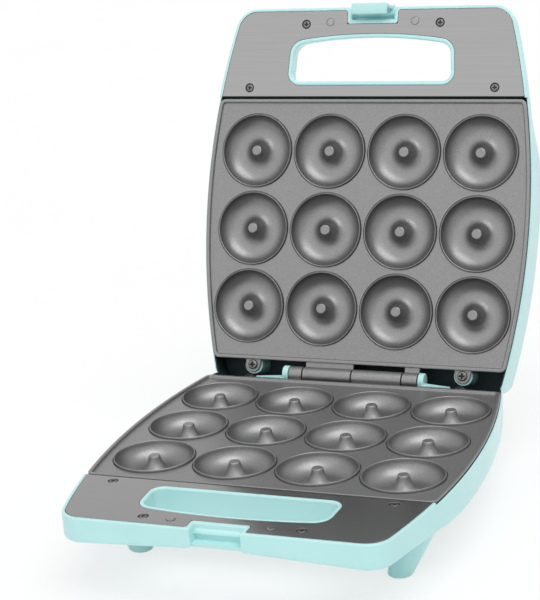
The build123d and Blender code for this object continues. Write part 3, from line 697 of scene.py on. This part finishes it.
def cavity_profile():
    """Radius and depth through the groove, over the lip, round the bowl and up the post."""
    groove = [
        (GROOVE_RADIUS, PLATE_FACE),
        (GROOVE_RADIUS - GROOVE_DRAFT, GROOVE_FLOOR),
        (LIP_RADIUS + GROOVE_DRAFT, GROOVE_FLOOR),
    ]
    lip = [(LIP_RADIUS - inwards, LIP_TOP + drop) for inwards, drop in LIP_ROLL]
    turns = [step * pi / 2 / BOWL_STEPS for step in range(1, BOWL_STEPS + 1)]
    reach, sink = BOWL_RADIUS - BOWL_MIDDLE, BOWL_BOTTOM - BOWL_MOUTH
    wall = [(BOWL_MIDDLE + reach * cos(turn), BOWL_MOUTH + sink * sin(turn)) for turn in turns]
    flare = [
        (BOWL_MIDDLE - FLARE_WIDTH * sin(turn), BOWL_BOTTOM - FLARE_RISE * (1 - cos(turn)))
        for turn in turns[:FLARE_STEPS]
    ]
    post = [(POST_RADIUS + outwards, LIP_TOP + drop) for outwards, drop in POST_ROLL]
    return groove + lip + wall + flare + post


def bead_profile():
    """Inset from the plate's edge and depth, from the seat over the raised bead to the face."""
    outer = [(0.0, PLATE_SEAT), (0.0, 0.95), (0.12, 0.62), (0.4, 0.44)]
    top = [(0.8, PLATE_TOP), (1.9, PLATE_TOP)]
    inner = [(2.3, 0.46), (2.55, 0.7), (2.7, 1.1), (2.85, 1.8), (3.1, 2.15), (3.5, PLATE_FACE)]
    return outer + top + inner


def plate_plan(inset):
    """A cooking plate's plan, set in from its edge."""
    corner = max(PLATE_CORNER - inset, PLATE_INNER_CORNER)
    right = outline(PLATE_INSET + inset, PLATE_FRONT + inset, PLATE_REAR - inset, corner, corner)
    return mirrored(right)


def cavity(form, x, y):
    """One cavity of a plate. Returns the edge where it meets the plate's face."""
    rings = form.rings(x, y, cavity_profile(), CAVITY_STEPS)
    form.skin(*rings[:LIP_RINGS])
    form.coat = 1
    form.skin(*rings[LIP_RINGS - 1:])
    form.coat = 0
    form.cap(rings[-1])
    return rings[0]


def ridge(form, y):
    """The back of a row of cavities. Returns the edge where it meets the plate's back."""
    end = (COLUMNS - 1) / 2 * PITCH_X
    levels = [(RIDGE_RADIUS, PLATE_BACK), (RIDGE_FOOT, RIDGE_BOTTOM)]
    rows = [form.loop(slot_plan(end, y, radius, RIDGE_STEPS), depth) for radius, depth in levels]
    form.skin(*rows)
    form.cap(rows[-1])
    return rows[0]


def knuckle(form, low, high):
    """One knuckle of the hinge: a barrel with an arm to the plate, its ends rounded."""
    root = PLATE_REAR - KNUCKLE_ROOT

    def section(x, shrink):
        radius = KNUCKLE_RADIUS - shrink
        top = -PLATE_SEAT - shrink
        barrel = arc((0, 0), radius, -pi / 2, pi + asin(-top / radius), ROUND_STEPS)
        return form.row([(x, y, z) for y, z in [*barrel, (root, top), (root, -radius)]])

    form.solid(soft_ended(section, low, high, KNUCKLE_END, KNUCKLE_END_MIDDLE))


def lug(form, x):
    """A tongue at the rear of the plate that takes a screw."""
    root = PLATE_REAR - LUG_ROOT

    def plan(shrink):
        radius = LUG_RADIUS - shrink
        wide = radius + LUG_SPREAD
        return [*arc((x, LUG_Y), radius, 0, pi, LUG_STEPS), (x - wide, root), (x + wide, root)]

    levels = [(LUG_EDGE, LUG_TOP), (0.0, LUG_TOP + LUG_EDGE), (0.0, LUG_BOTTOM)]
    form.solid([form.loop(plan(shrink), depth) for shrink, depth in levels])


def cooking_plate(name, body, place, first_knuckle):
    """The die-cast plate: bead, face, lips, bowls with posts, ridged back, lugs and knuckles."""
    form = Form()
    columns = [(column - (COLUMNS - 1) / 2) * PITCH_X for column in range(COLUMNS)]
    rows = [FIRST_ROW - row * PITCH_Y for row in range(ROWS)]
    rims = [cavity(form, x, y) for x in columns for y in rows]
    bead = [form.loop(plate_plan(inset), depth) for inset, depth in bead_profile()]
    form.skin(*bead)
    form.patch(bead[-1], rims)
    back_plan = plate_plan(PLATE_BODY_INSET - PLATE_INSET)
    under = [form.loop(back_plan, depth) for depth in (PLATE_SEAT, PLATE_BACK)]
    form.skin(bead[0], *under)
    form.patch(under[-1], [ridge(form, y) for y in rows])
    for low, high in list(zip(KNUCKLE_EDGES, KNUCKLE_EDGES[1:]))[first_knuckle::2]:
        knuckle(form, low + KNUCKLE_GAP / 2, high - KNUCKLE_GAP / 2)
    for x in (-LUG_X, LUG_X):
        lug(form, x)
    casting = name.replace("cooking_plate", "plate_casting")
    form.finish(casting, body, "nonstick_aluminium", place, replaced=[name], second="bowls")


def grip_plan(growth):
    """The hand hole, its front edge bowed, grown on all sides."""
    rear, front = GRIP_REAR + growth, GRIP_FRONT - growth
    wide = GRIP_HALF_WIDTH + growth
    narrow, side = wide - GRIP_TAPER, front + GRIP_BOW
    radius = (narrow**2 + GRIP_BOW**2) / (2 * GRIP_BOW)
    reach = asin(narrow / radius) * GRIP_BOW_SHARE
    bow = arc((0, front + radius), radius, -pi / 2 - reach, -pi / 2 + reach, BOW_STEPS)
    near, far = GRIP_FRONT_CORNER + growth, GRIP_REAR_CORNER + growth
    corners = [(narrow, side, near), (wide, rear, far), (-wide, rear, far), (-narrow, side, near)]
    return rounded([*[(x, y, 0) for x, y in bow], *corners])


def sheet_plan(shrink):
    """The steel handle plate, with the notch for the latch in its front edge."""
    room = SHEET_GAP + shrink
    front = HANDLE_FRONT + room
    right = outline(HANDLE_RIM + room, front, SHEET_REAR - shrink, HANDLE_CORNER - shrink, SHEET_CORNER)
    notch = RECESS_HALF_WIDTH + RECESS_WALL + room
    back = RECESS_BACK + RECESS_WALL + room
    return mirrored([(notch, back), (notch, front), *right])


def dome_profile():
    """Radius and depth over a dome pressed into the steel, with a crease round it."""
    shares = [(1.15, 0.0), (1.08, -1.0), (0.97, -1.0), (0.93, 0.6), (0.8, 1.0), (0.5, 1.0)]
    return [(DOME_RADIUS * wide, PLATE_TOP - DOME_RISE * high) for wide, high in shares]


def handle_sheet(name, body, place):
    """The steel plate on a handle, its edges and holes slightly rolled."""
    form = Form()
    top, bottom = PLATE_TOP, PLATE_TOP + SHEET_THICKNESS
    edge = [(SHEET_ROLL, top), (SHEET_CREASE, top + SHEET_CREASE), (0.0, top + SHEET_ROLL), (0.0, bottom)]
    outer = [form.loop(sheet_plan(shrink), depth) for shrink, depth in edge]
    inner = [form.loop(grip_plan(SLEEVE_RIM + SHEET_GAP + shrink), depth) for shrink, depth in edge]
    hole = [(HANDLE_SCREW_HOLE + shrink, depth) for shrink, depth in edge]
    holes = []
    for x, y in HANDLE_SCREWS:
        rings = form.rings(x, y, hole, SCREW_STEPS)
        form.skin(*rings)
        holes.append(rings[0])
    for x, y in DOMES:
        rings = form.rings(x, y, dome_profile(), DOME_STEPS)
        form.skin(*rings)
        form.cap(rings[-1])
        holes.append(rings[0])
    form.skin(*outer)
    form.skin(*inner)
    form.patch(outer[0], [inner[0], *holes])
    form.finish(name.replace("handle_plate", "handle_sheet"), body, "brushed_plate", place, replaced=[name])


def eased(deep, shallow, start, length):
    """Depth of an underside that sweeps up from deep to shallow in an S towards the handle."""
    def depth(y):
        part = clamped((start - y) / length)
        share = 2 * part**2 if part < 0.5 else 1 - 2 * (1 - part) ** 2
        return deep - (deep - shallow) * share
    return depth


def raised(underside, height):
    """A depth that stays this height above an underside."""
    return lambda x, y: underside(x, y) - height


def shell_stations():
    """Places along a shell's side, with a close pair where the deck ends."""
    start = SHELL_FRONT + FRONT_CORNER + STATION_MARGIN
    end = REAR_WALL - REAR_CORNER - STATION_MARGIN
    even = [start + (end - start) * step / SIDE_STEPS for step in range(SIDE_STEPS + 1)]
    return sorted([*even, DECK_REAR - STATION_GAP, DECK_REAR + STATION_GAP])


def shell_top(y):
    """Depth of a shell's upper edge: high round the handle, lower under the plate, bevelled behind."""
    if y < DECK_REAR:
        return PLATE_TOP
    return max(PLATE_SEAT + PLATE_GAP, STOP_GAP + y * STOP_SLOPE)


def shell_plan(inset, notch):
    """A shell's plan, with the latch recess in its front edge set back to a given line."""
    front, rear = SHELL_FRONT + inset, REAR_WALL - inset
    right = outline(inset, front, rear, FRONT_CORNER - inset, REAR_CORNER - inset, shell_stations())
    rim = inset * RECESS_WALL / HANDLE_RIM
    wide, back = RECESS_HALF_WIDTH + rim, max(notch + rim, front)
    soft = min(RECESS_CORNER + RECESS_CORNER_GROWTH * inset, (back - front) / 3)
    cut = soft * RECESS_CUT_SHARE
    inner = [(wide - soft, back), (wide - cut, back - cut), (wide, back - soft)]
    outer = [(wide, front + soft), (wide + cut, front + cut), (wide + soft, front)]
    return mirrored([*inner, *outer, *right])


def rim_profile():
    """Inset and drop over the rim of a shell, from its inner edge to its outer wall."""
    inner = [(HANDLE_RIM, 0.15), (HANDLE_RIM - 0.15, 0.0)]
    outer = [(1.0, 0.0), (0.5, 0.1), (0.15, 0.4), (0.0, 0.9)]
    return inner + outer


def shell_skin(form, underside, edge, recess_floor, recess_sill):
    """The outer skin of a shell from the inside of its rim to the edge of its underside."""
    inner_edge = max(WALL, INNER_EDGE_SHARE * edge)

    def inner_foot(x, y):
        if y < DECK_REAR:
            return PLATE_TOP + SHEET_THICKNESS
        return min(INNER_FLOOR, underside(x, y) - inner_edge)

    def top(drop):
        return lambda x, y: shell_top(y) + drop

    def wall(share):
        def depth(x, y):
            start, end = shell_top(y) + RIM_DEPTH, underside(x, y) - edge
            return start + (end - start) * share
        return depth

    rows = [form.loop(shell_plan(HANDLE_RIM, RECESS_BACK), inner_foot)]
    rows += [form.loop(shell_plan(inset, RECESS_BACK), top(drop)) for inset, drop in rim_profile()]
    rim_foot = PLATE_TOP + RIM_DEPTH
    share = min((recess_floor - rim_foot) / (HANDLE_THICKNESS - edge - rim_foot), LOWEST_FLOOR_SHARE)
    rows.append(form.loop(shell_plan(0, RECESS_BACK), wall(share)))
    rows.append(form.loop(shell_plan(0, recess_sill), wall(share + FLOOR_SLOPE_SHARE)))
    for inset, height in rolled(edge):
        rows.append(form.loop(shell_plan(inset, recess_sill), raised(underside, height)))
    form.skin(*rows[3:])
    # Painted shade on the inner wall under the rim
    form.coat = 1
    form.skin(*rows[:2])
    form.coat = 0
    # The inner side of the rim is painted dark, as shade, only behind the deck.
    first = len(form.faces)
    form.skin(*rows[1:4])
    for index in range(first, len(form.faces)):
        if all(form.points[corner][1] > DECK_REAR for corner in form.faces[index]):
            form.coats[index] = 1
    return rows[0], rows[-1]


def sleeve(form, underside, edge, draft):
    """The lining of the hand hole, with a flush rim at the top and a rolled edge below."""
    outer = [(SLEEVE_RIM, PLATE_TOP + SHEET_THICKNESS), (SLEEVE_RIM, 0.5), (SLEEVE_RIM - 0.2, 0.22)]
    top = [(SLEEVE_RIM - 0.6, SLEEVE_TOP), (1.2, SLEEVE_TOP)]
    inner = [(0.6, 0.3), (0.2, 0.7), (0.0, 1.4)]
    rows = [form.loop(grip_plan(growth), depth) for growth, depth in outer + top + inner]
    for inset, height in rolled(edge):
        rows.append(form.loop(grip_plan(inset + draft), raised(underside, height)))
    form.skin(*rows)
    return rows[0], rows[-1]


def deck_and_floor(form, inner, hole):
    """The deck under the steel plate, the inner floor under the cooking plate and the wall between, all painted
    dark as shade.
    """
    front = [index for index in inner if form.points[index][1] < DECK_REAR]
    rear = [index for index in inner if form.points[index][1] >= DECK_REAR]
    half = len(front) // 2
    # Painted shade over the deck, the inner floor and the wall between
    form.coat = 1
    form.patch(front, [hole])
    form.patch(rear)
    form.cap([front[half - 1], rear[0], rear[-1], front[half]])
    form.coat = 0


def base_shell():
    """The lower moulding: band with handle, belly, four legs and the ears of the hinge."""
    sweep = eased(BAND_HEIGHT, HANDLE_THICKNESS, PLATE_FRONT + SWEEP_START, BASE_SWEEP)

    def underside(x, y):
        fade = clamped((HANDLE_REAR - y) / (HANDLE_REAR - SHELL_FRONT))
        return sweep(y) - ARCH_RISE * max(1 - (x / ARCH_HALF_SPAN) ** 2, 0.0) * fade

    form = Form()
    inner, outer = shell_skin(form, underside, BASE_EDGE, RECESS_FLOOR, SHELL_FRONT + RECESS_SILL)
    rim, hem = sleeve(form, underside, BASE_GRIP_EDGE, BASE_GRIP_DRAFT)
    form.patch(outer, [hem], underside, BASE_SPACING)
    deck_and_floor(form, inner, rim)
    belly(form)
    for x, y, top_x, top_y in legs():
        leg(form, x, y, top_x, top_y)
    for low in (EAR_INNER, -EAR_INNER - EAR_THICKNESS):
        ear(form, low)
    for side in (-1, 1):
        ledge(form, side)
        screw_boss(form, side * LUG_X)
    catch(form)
    form.finish("base_moulding", "base", "mint_plastic", BASE, replaced=["base_shell"], sharp=SHELL_SHARP)


def lid_shell():
    """The upper moulding: a domed lid with rolled crown edges and a handle."""
    sweep = eased(LID_HEIGHT, LID_HANDLE_THICKNESS, PLATE_FRONT + SWEEP_START, LID_SWEEP)

    def underside(x, y):
        return sweep(y)

    form = Form()
    inner, outer = shell_skin(form, underside, LID_EDGE, LID_RECESS_FLOOR, SHELL_FRONT)
    rim, hem = sleeve(form, underside, LID_GRIP_EDGE, LID_GRIP_DRAFT)
    form.patch(outer, [hem], underside, LID_SPACING)
    deck_and_floor(form, inner, rim)
    pin = circle(SHELL_FRONT + LATCH_PIN_BEHIND, -LATCH_PIN_LEVEL, CLIP_BARREL, PIN_STEPS)
    for side in (-1, 1):
        screw_boss(form, side * LUG_X)
        prism(form, pin, side * (CLIP_HALF_WIDTH + CLIP_PLAY), side * (RECESS_HALF_WIDTH + LATCH_PIN_SINK))
    form.finish("lid_moulding", "lid", "mint_plastic", LID, replaced=["lid_shell"], sharp=SHELL_SHARP)


def belly(form):
    """The tub under the band, raised towards its front, with rolled lower edges and cooling slots."""
    fore = PLATE_FRONT + BELLY_FRONT

    def plan(inset):
        corner = BELLY_CORNER - inset
        return mirrored(outline(BELLY_INSET + inset, fore + inset, -BELLY_REAR - inset, corner, corner))

    def sole(x, y):
        return BELLY_DEPTH - BELLY_RAMP * max((BELLY_TURN - y) / (BELLY_TURN - fore), 0.0)

    rows = [form.loop(plan(0), BAND_HEIGHT - BELLY_SINK)]
    rows += [form.loop(plan(inset), raised(sole, height)) for inset, height in rolled(BELLY_EDGE)]
    form.skin(*rows)
    mouths = []
    for vent in range(VENT_COUNT):
        y = FIRST_ROW - PITCH_Y + (vent - (VENT_COUNT - 1) / 2) * VENT_PITCH
        slot = slot_plan(VENT_REACH, y, VENT_WIDTH / 2, VENT_STEPS)
        mouth, bottom = form.loop(slot, sole), form.loop(slot, raised(sole, WALL))
        form.skin(mouth, bottom)
        # Painted shade on the bottom of each slot
        form.coat = 1
        form.cap(bottom)
        form.coat = 0
        mouths.append(mouth)
    form.patch(rows[-1], mouths, sole, BELLY_SPACING)


def legs():
    """Foot and top of each leg."""
    places = []
    for y, rake in ((PLATE_FRONT + LEG_FRONT, LEG_RAKE), (PLATE_REAR - LEG_REAR, -LEG_RAKE)):
        bow = sqrt(SIDE_RADIUS**2 - (y - WIDEST_Y) ** 2) - SIDE_RADIUS + HALF_WIDTH
        for side in (-1, 1):
            places.append((side * (bow - LEG_FOOT_INSET), y, side * (bow - LEG_TOP_INSET), y + rake))
    return places


def leg(form, x, y, top_x, top_y):
    """A raked leg that widens upwards, its lower edge rolled."""
    length = BASE_HEIGHT - LEG_TOP_LEVEL
    sole = BASE_HEIGHT - PAD_PROUD

    def ring(depth, inset):
        share = (BASE_HEIGHT - depth) / length
        radius = LEG_FOOT_RADIUS + (LEG_TOP_RADIUS - LEG_FOOT_RADIUS) * share - inset
        centre_x, centre_y = x + (top_x - x) * share, y + (top_y - y) * share
        return form.loop(circle(centre_x, centre_y, radius, ROUND_STEPS), depth)

    rows = [ring(LEG_TOP_LEVEL + step * LEG_RING_PITCH, 0) for step in range(LEG_RINGS)]
    rows += [ring(sole - height, inset) for inset, height in rolled(LEG_EDGE)]
    form.skin(*rows)
    form.cap(rows[-1])


def ear(form, low):
    """A wall that flanks the hinge barrel, round at the top."""
    foot = -BAND_HEIGHT + WALL

    def section(x, shrink):
        radius = EAR_RADIUS - shrink
        crown = arc((0, 0), radius, EAR_START, pi, EAR_STEPS)
        return form.row([(x, y, z) for y, z in [*crown, (-radius, foot), (EAR_BACK - shrink, foot)]])

    form.solid(soft_ended(section, low, low + EAR_THICKNESS, EAR_END, EAR_END_MIDDLE))


def catch(form):
    """The rib across the recess that the latch hooks under."""
    proud, back = RECESS_BACK - CATCH_PROUD, RECESS_BACK + CATCH_ROOT
    middle, foot = CATCH_TOP + CATCH_HEIGHT / 2, CATCH_TOP + CATCH_HEIGHT
    upper = [(back, -CATCH_TOP), (RECESS_BACK, -CATCH_TOP)]
    lower = [(proud, -middle), (proud, -foot), (back, -foot)]
    prism(form, upper + lower, -RECESS_HALF_WIDTH, RECESS_HALF_WIDTH)


def screw_boss(form, x):
    """The moulded boss behind a lug of the plate."""
    rings = form.rings(x, LUG_Y, [(BOSS_RADIUS, LUG_BOTTOM), (BOSS_RADIUS, INNER_FLOOR)], ROUND_STEPS)
    form.skin(*rings)
    form.cap(rings[0])


def ledge(form, side):
    """A web that braces an ear towards the screw lug beside it."""
    near = EAR_INNER + EAR_THICKNESS - LEDGE_SINK
    far = LUG_X - LUG_RADIUS - LEDGE_ROOM
    corners = [(near, LEDGE_FRONT), (far, LEDGE_FRONT), (far, LEDGE_FAR_REAR), (near, LEDGE_NEAR_REAR)]
    plan = [(side * x, y) for x, y in corners]
    form.solid([form.loop(plan, depth) for depth in (LEDGE_TOP, LEDGE_TOP + WALL)])


def latch_clip():
    """The lever on the lid, with its flared finger tab, its hook and the barrel round its pin."""
    outer, tip = SHELL_FRONT - CLIP_PROUD, RECESS_BACK - CLIP_BEHIND
    inner, root = outer + CLIP_THICKNESS, CLIP_REACH - CLIP_HOOK
    shares = [step / TAB_STEPS for step in range(TAB_STEPS, -1, -1)]
    tab = [(CLIP_FLARE * share**2, -CLIP_TAB * share) for share in shares]
    nose = [(outer, CLIP_REACH), (outer + CLIP_NOSE, CLIP_REACH)]
    hook = [(tip, root + CLIP_HOOK_EDGE), (tip, root), (inner, root)]
    lever = [(outer - flare, level) for flare, level in tab]
    lever += nose + hook
    lever += [(inner - flare, level) for flare, level in reversed(tab)]
    pin, sunk = SHELL_FRONT + LATCH_PIN_BEHIND, inner - ARM_SINK
    below, above = -LATCH_PIN_LEVEL - ARM_HALF_HEIGHT, -LATCH_PIN_LEVEL + ARM_HALF_HEIGHT
    arm = [(sunk, below), (pin, below), (pin, above), (sunk, above)]
    barrel = circle(pin, -LATCH_PIN_LEVEL, CLIP_BARREL, PIN_STEPS)
    form = Form()
    for profile in (lever, arm, barrel):
        prism(form, profile, -CLIP_HALF_WIDTH, CLIP_HALF_WIDTH)
    form.finish("latch_lever", "latch", "mint_plastic", LID, replaced=["latch_clip"], bevel=CLIP_BEVEL)


def foot_pads():
    """Soft round pads under the legs, each with a ring groove."""
    side = [(PAD_RADIUS, PAD_SINK), (PAD_RADIUS, 0.5), (PAD_RADIUS - 0.2, 0.15), (PAD_RADIUS - 0.6, 0.0)]
    groove = [(4.2, 0.0), (4.0, PAD_GROOVE_DEPTH), (3.2, PAD_GROOVE_DEPTH), (3.0, 0.0), (1.5, 0.0)]
    profile = [(radius, BASE_HEIGHT - height) for radius, height in side + groove]
    form = Form()
    for x, y, _, _ in legs():
        turned(form, x, y, profile)
    form.finish("foot_pad_discs", "base", "foot_rubber", BASE, replaced=["foot_pads"])


def lens(node, slot, x):
    """An indicator lens: a flange with a low dome on the crown of the lid."""
    stem = [(LENS_RADIUS, -LENS_SINK), (LENS_RADIUS, 0.0), (LENS_FLANGE, 0.0), (LENS_FLANGE, 0.35)]
    shoulder = [(LENS_FLANGE - 0.2, 0.5), (LENS_RADIUS + 0.3, LENS_SHOULDER)]
    turns = [step * pi / 2 / LENS_STEPS for step in range(LENS_STEPS)]
    rise = LENS_PROUD - LENS_SHOULDER
    dome = [(LENS_RADIUS * cos(turn), LENS_SHOULDER + rise * sin(turn)) for turn in turns]
    profile = [(radius, LID_HEIGHT + proud) for radius, proud in stem + shoulder + dome]
    form = Form()
    turned(form, x, LENS_Y, profile)
    form.finish(node + "_dome", "lid", slot, LID, replaced=[node])


def cord_bushing():
    """The ring in the rear wall that lines the inlet, with painted shade at the end of its bore."""
    end, wide = REAR_WALL + BUSHING_LIP, BUSHING_FLANGE
    bore = [(BUSHING_BORE, REAR_WALL + BUSHING_FLOOR), (BUSHING_BORE, end - BUSHING_EDGE)]
    lip = [(BUSHING_BORE + BUSHING_EDGE, end), (wide - 0.6, end), (wide - 0.1, end - 0.4)]
    flange = [(wide, end - 0.9), (wide, REAR_WALL - BUSHING_SINK)]
    form = Form()
    rings = []
    for radius, y in bore + lip + flange:
        ring = circle(BUSHING_X, -BUSHING_LEVEL, radius, TURNED_STEPS)
        rings.append(form.row([(x, y, z) for x, z in ring]))
    form.skin(*rings)
    # Painted shade at the end of the bore
    form.coat = 1
    form.cap(rings[0])
    form.coat = 0
    form.cap(rings[-1])
    form.finish("cord_inlet_ring", "base", "bushing_rubber", BASE, replaced=["cord_bushing"])


def cross_plan(x, y, reach, half):
    """The cross of a screw head, from one arm turned four times."""
    arm = [(reach, -half), (reach, half), (half, half)]
    corners = []
    for _ in range(4):
        corners += arm
        arm = [(-along, across) for across, along in arm]
    return [(x + across, y + along) for across, along in corners]


def screw_head(form, x, y, radius, seat, rise):
    """A round head with a cross recess, standing rise above its seat."""
    top = seat - rise
    floor_depth = top + min(radius * CROSS_DEPTH, rise)
    head = [(radius * wide, top + rise * low) for wide, low in HEAD_OUTLINE]
    rings = form.rings(x, y, head, SCREW_STEPS)
    form.skin(*rings)
    mouth = form.loop(cross_plan(x, y, radius * CROSS_REACH, radius * CROSS_HALF), top)
    floor_plan = cross_plan(x, y, radius * CROSS_FLOOR_REACH, radius * CROSS_FLOOR_HALF)
    floor = form.loop(floor_plan, floor_depth)
    form.patch(rings[-1], [mouth])
    # Painted shade in the cross recess
    form.coat = 1
    form.skin(mouth, floor)
    form.cap(floor)
    form.coat = 0


def screws(name, body, place, places, radius, seat, rise):
    """A group of equal screws, each with its head and its shank."""
    shank = [(SHANK_RADIUS, seat), (SHANK_RADIUS, seat + SHANK_LENGTH)]
    form = Form()
    for x, y in places:
        screw_head(form, x, y, radius, seat, rise)
        rod = form.rings(x, y, shank, SHANK_STEPS)
        form.skin(*rod)
        form.cap(rod[-1])
    form.finish(name + "_cross_heads", body, "dark_screw", place, replaced=[name], sharp=SCREW_SHARP)


def seen_rays(tree):
    """One for rays from the camera, and for those that a mirror or a lens passes on, else nothing."""
    rays = tree.nodes.new("ShaderNodeLightPath")
    value = rays.outputs["Is Camera Ray"]
    for name in ("Is Glossy Ray", "Is Transmission Ray"):
        either = tree.nodes.new("ShaderNodeMath")
        either.operation = "MAXIMUM"
        tree.links.new(value, either.inputs[0])
        tree.links.new(rays.outputs[name], either.inputs[1])
        value = either.outputs["Value"]
    return value


def add_stage():
    """A white floor that keeps a soft shadow."""
    mesh = bpy.data.meshes.new("floor")
    half = FLOOR_HALF * MM
    corners = [(-half, -half, 0), (half, -half, 0), (half, half, 0), (-half, half, 0)]
    mesh.from_pydata(corners, [], [(0, 1, 2, 3)])
    floor = bpy.data.objects.new("floor", mesh)
    bpy.context.scene.collection.objects.link(floor)
    shader = Shader("floor")
    shader.colour(shader.noise(3), (252, 252, 252), (255, 255, 255))
    shader.set(Roughness=0.9, Specular_IOR_Level=0.0)
    glow = shader.node("ShaderNodeEmission")
    mix = shader.node("ShaderNodeMixShader")
    share = shader.node("ShaderNodeMath", operation="MULTIPLY")
    share.inputs[1].default_value = FLOOR_GLOW
    shader.link(seen_rays(shader.tree), share.inputs[0])
    shader.link(share.outputs["Value"], mix.inputs["Fac"])
    shader.link(shader.surface.outputs["BSDF"], mix.inputs[1])
    shader.link(glow.outputs["Emission"], mix.inputs[2])
    shader.link(mix.outputs["Shader"], shader.tree.nodes["Material Output"].inputs["Surface"])
    mesh.materials.append(shader.material)


def add_world():
    """Even studio light, white where it is seen or reflected."""
    world = bpy.data.worlds.new("studio")
    bpy.context.scene.world = world
    world.use_nodes = True
    tree = world.node_tree
    background = tree.nodes["Background"]
    background.inputs["Color"].default_value = (1, 1, 1, 1)
    strength = tree.nodes.new("ShaderNodeMapRange")
    strength.inputs["To Min"].default_value = AMBIENT
    strength.inputs["To Max"].default_value = 1.0
    tree.links.new(seen_rays(tree), strength.inputs["Value"])
    tree.links.new(strength.outputs["Result"], background.inputs["Strength"])


def add_sun(name, direction, strength, spread):
    """A distant lamp, so that the whole floor is lit evenly."""
    data = bpy.data.lights.new(name, "SUN")
    data.energy = strength
    data.angle = radians(spread)
    lamp = bpy.data.objects.new(name, data)
    bpy.context.scene.collection.objects.link(lamp)
    lamp.rotation_euler = Vector(direction).to_track_quat("-Z", "Y").to_euler()


def add_camera():
    """The photograph's camera, rolled about its line of sight."""
    azimuth, elevation, roll = map(radians, (CAMERA_AZIMUTH, CAMERA_ELEVATION, CAMERA_ROLL))
    back = Vector((sin(azimuth) * cos(elevation), -cos(azimuth) * cos(elevation), sin(elevation)))
    right = Vector((0, 0, 1)).cross(back).normalized()
    up = back.cross(right)
    turned_right = cos(roll) * right + sin(roll) * up
    turned_up = -sin(roll) * right + cos(roll) * up
    data = bpy.data.cameras.new("camera")
    data.lens = CAMERA_LENS
    data.sensor_width = SENSOR
    camera = bpy.data.objects.new("camera", data)
    bpy.context.scene.collection.objects.link(camera)
    rotation = Matrix((turned_right, turned_up, back)).transposed().to_4x4()
    camera.matrix_world = Matrix.Translation(HINGE + Vector(CAMERA_PLACE) * MM) @ rotation
    bpy.context.scene.camera = camera


for part in frame["record"]["subparts"]:
    dress(nodes[part["node"]], part["material_slot"])

base_shell()
lid_shell()
latch_clip()
foot_pads()
cord_bushing()
lens("power_lens", "red_lens", -LENS_X)
lens("ready_lens", "green_lens", LENS_X)
lugs = [(-LUG_X, LUG_Y), (LUG_X, LUG_Y)]
for half, body, place, first_knuckle in (("lower", "base", BASE, 0), ("upper", "lid", LID, 1)):
    cooking_plate(f"{half}_cooking_plate", body, place, first_knuckle)
    handle_sheet(f"{body}_handle_plate", body, place)
    screws(f"{body}_handle_screws", body, place, HANDLE_SCREWS,
           HANDLE_SCREW_HEAD, HANDLE_SCREW_SEAT, HANDLE_SCREW_RISE)
    screws(f"{half}_plate_screws", body, place, lugs, LUG_SCREW_HEAD, LUG_TOP, LUG_SCREW_RISE)

add_stage()
add_world()
add_sun("overhead", direction=(-0.3, 0.2, -0.95), strength=1.5, spread=50)
add_sun("front", direction=(0.1, 0.7, -0.55), strength=0.7, spread=80)
add_camera()

bpy.context.scene.view_settings.view_transform = "Standard"
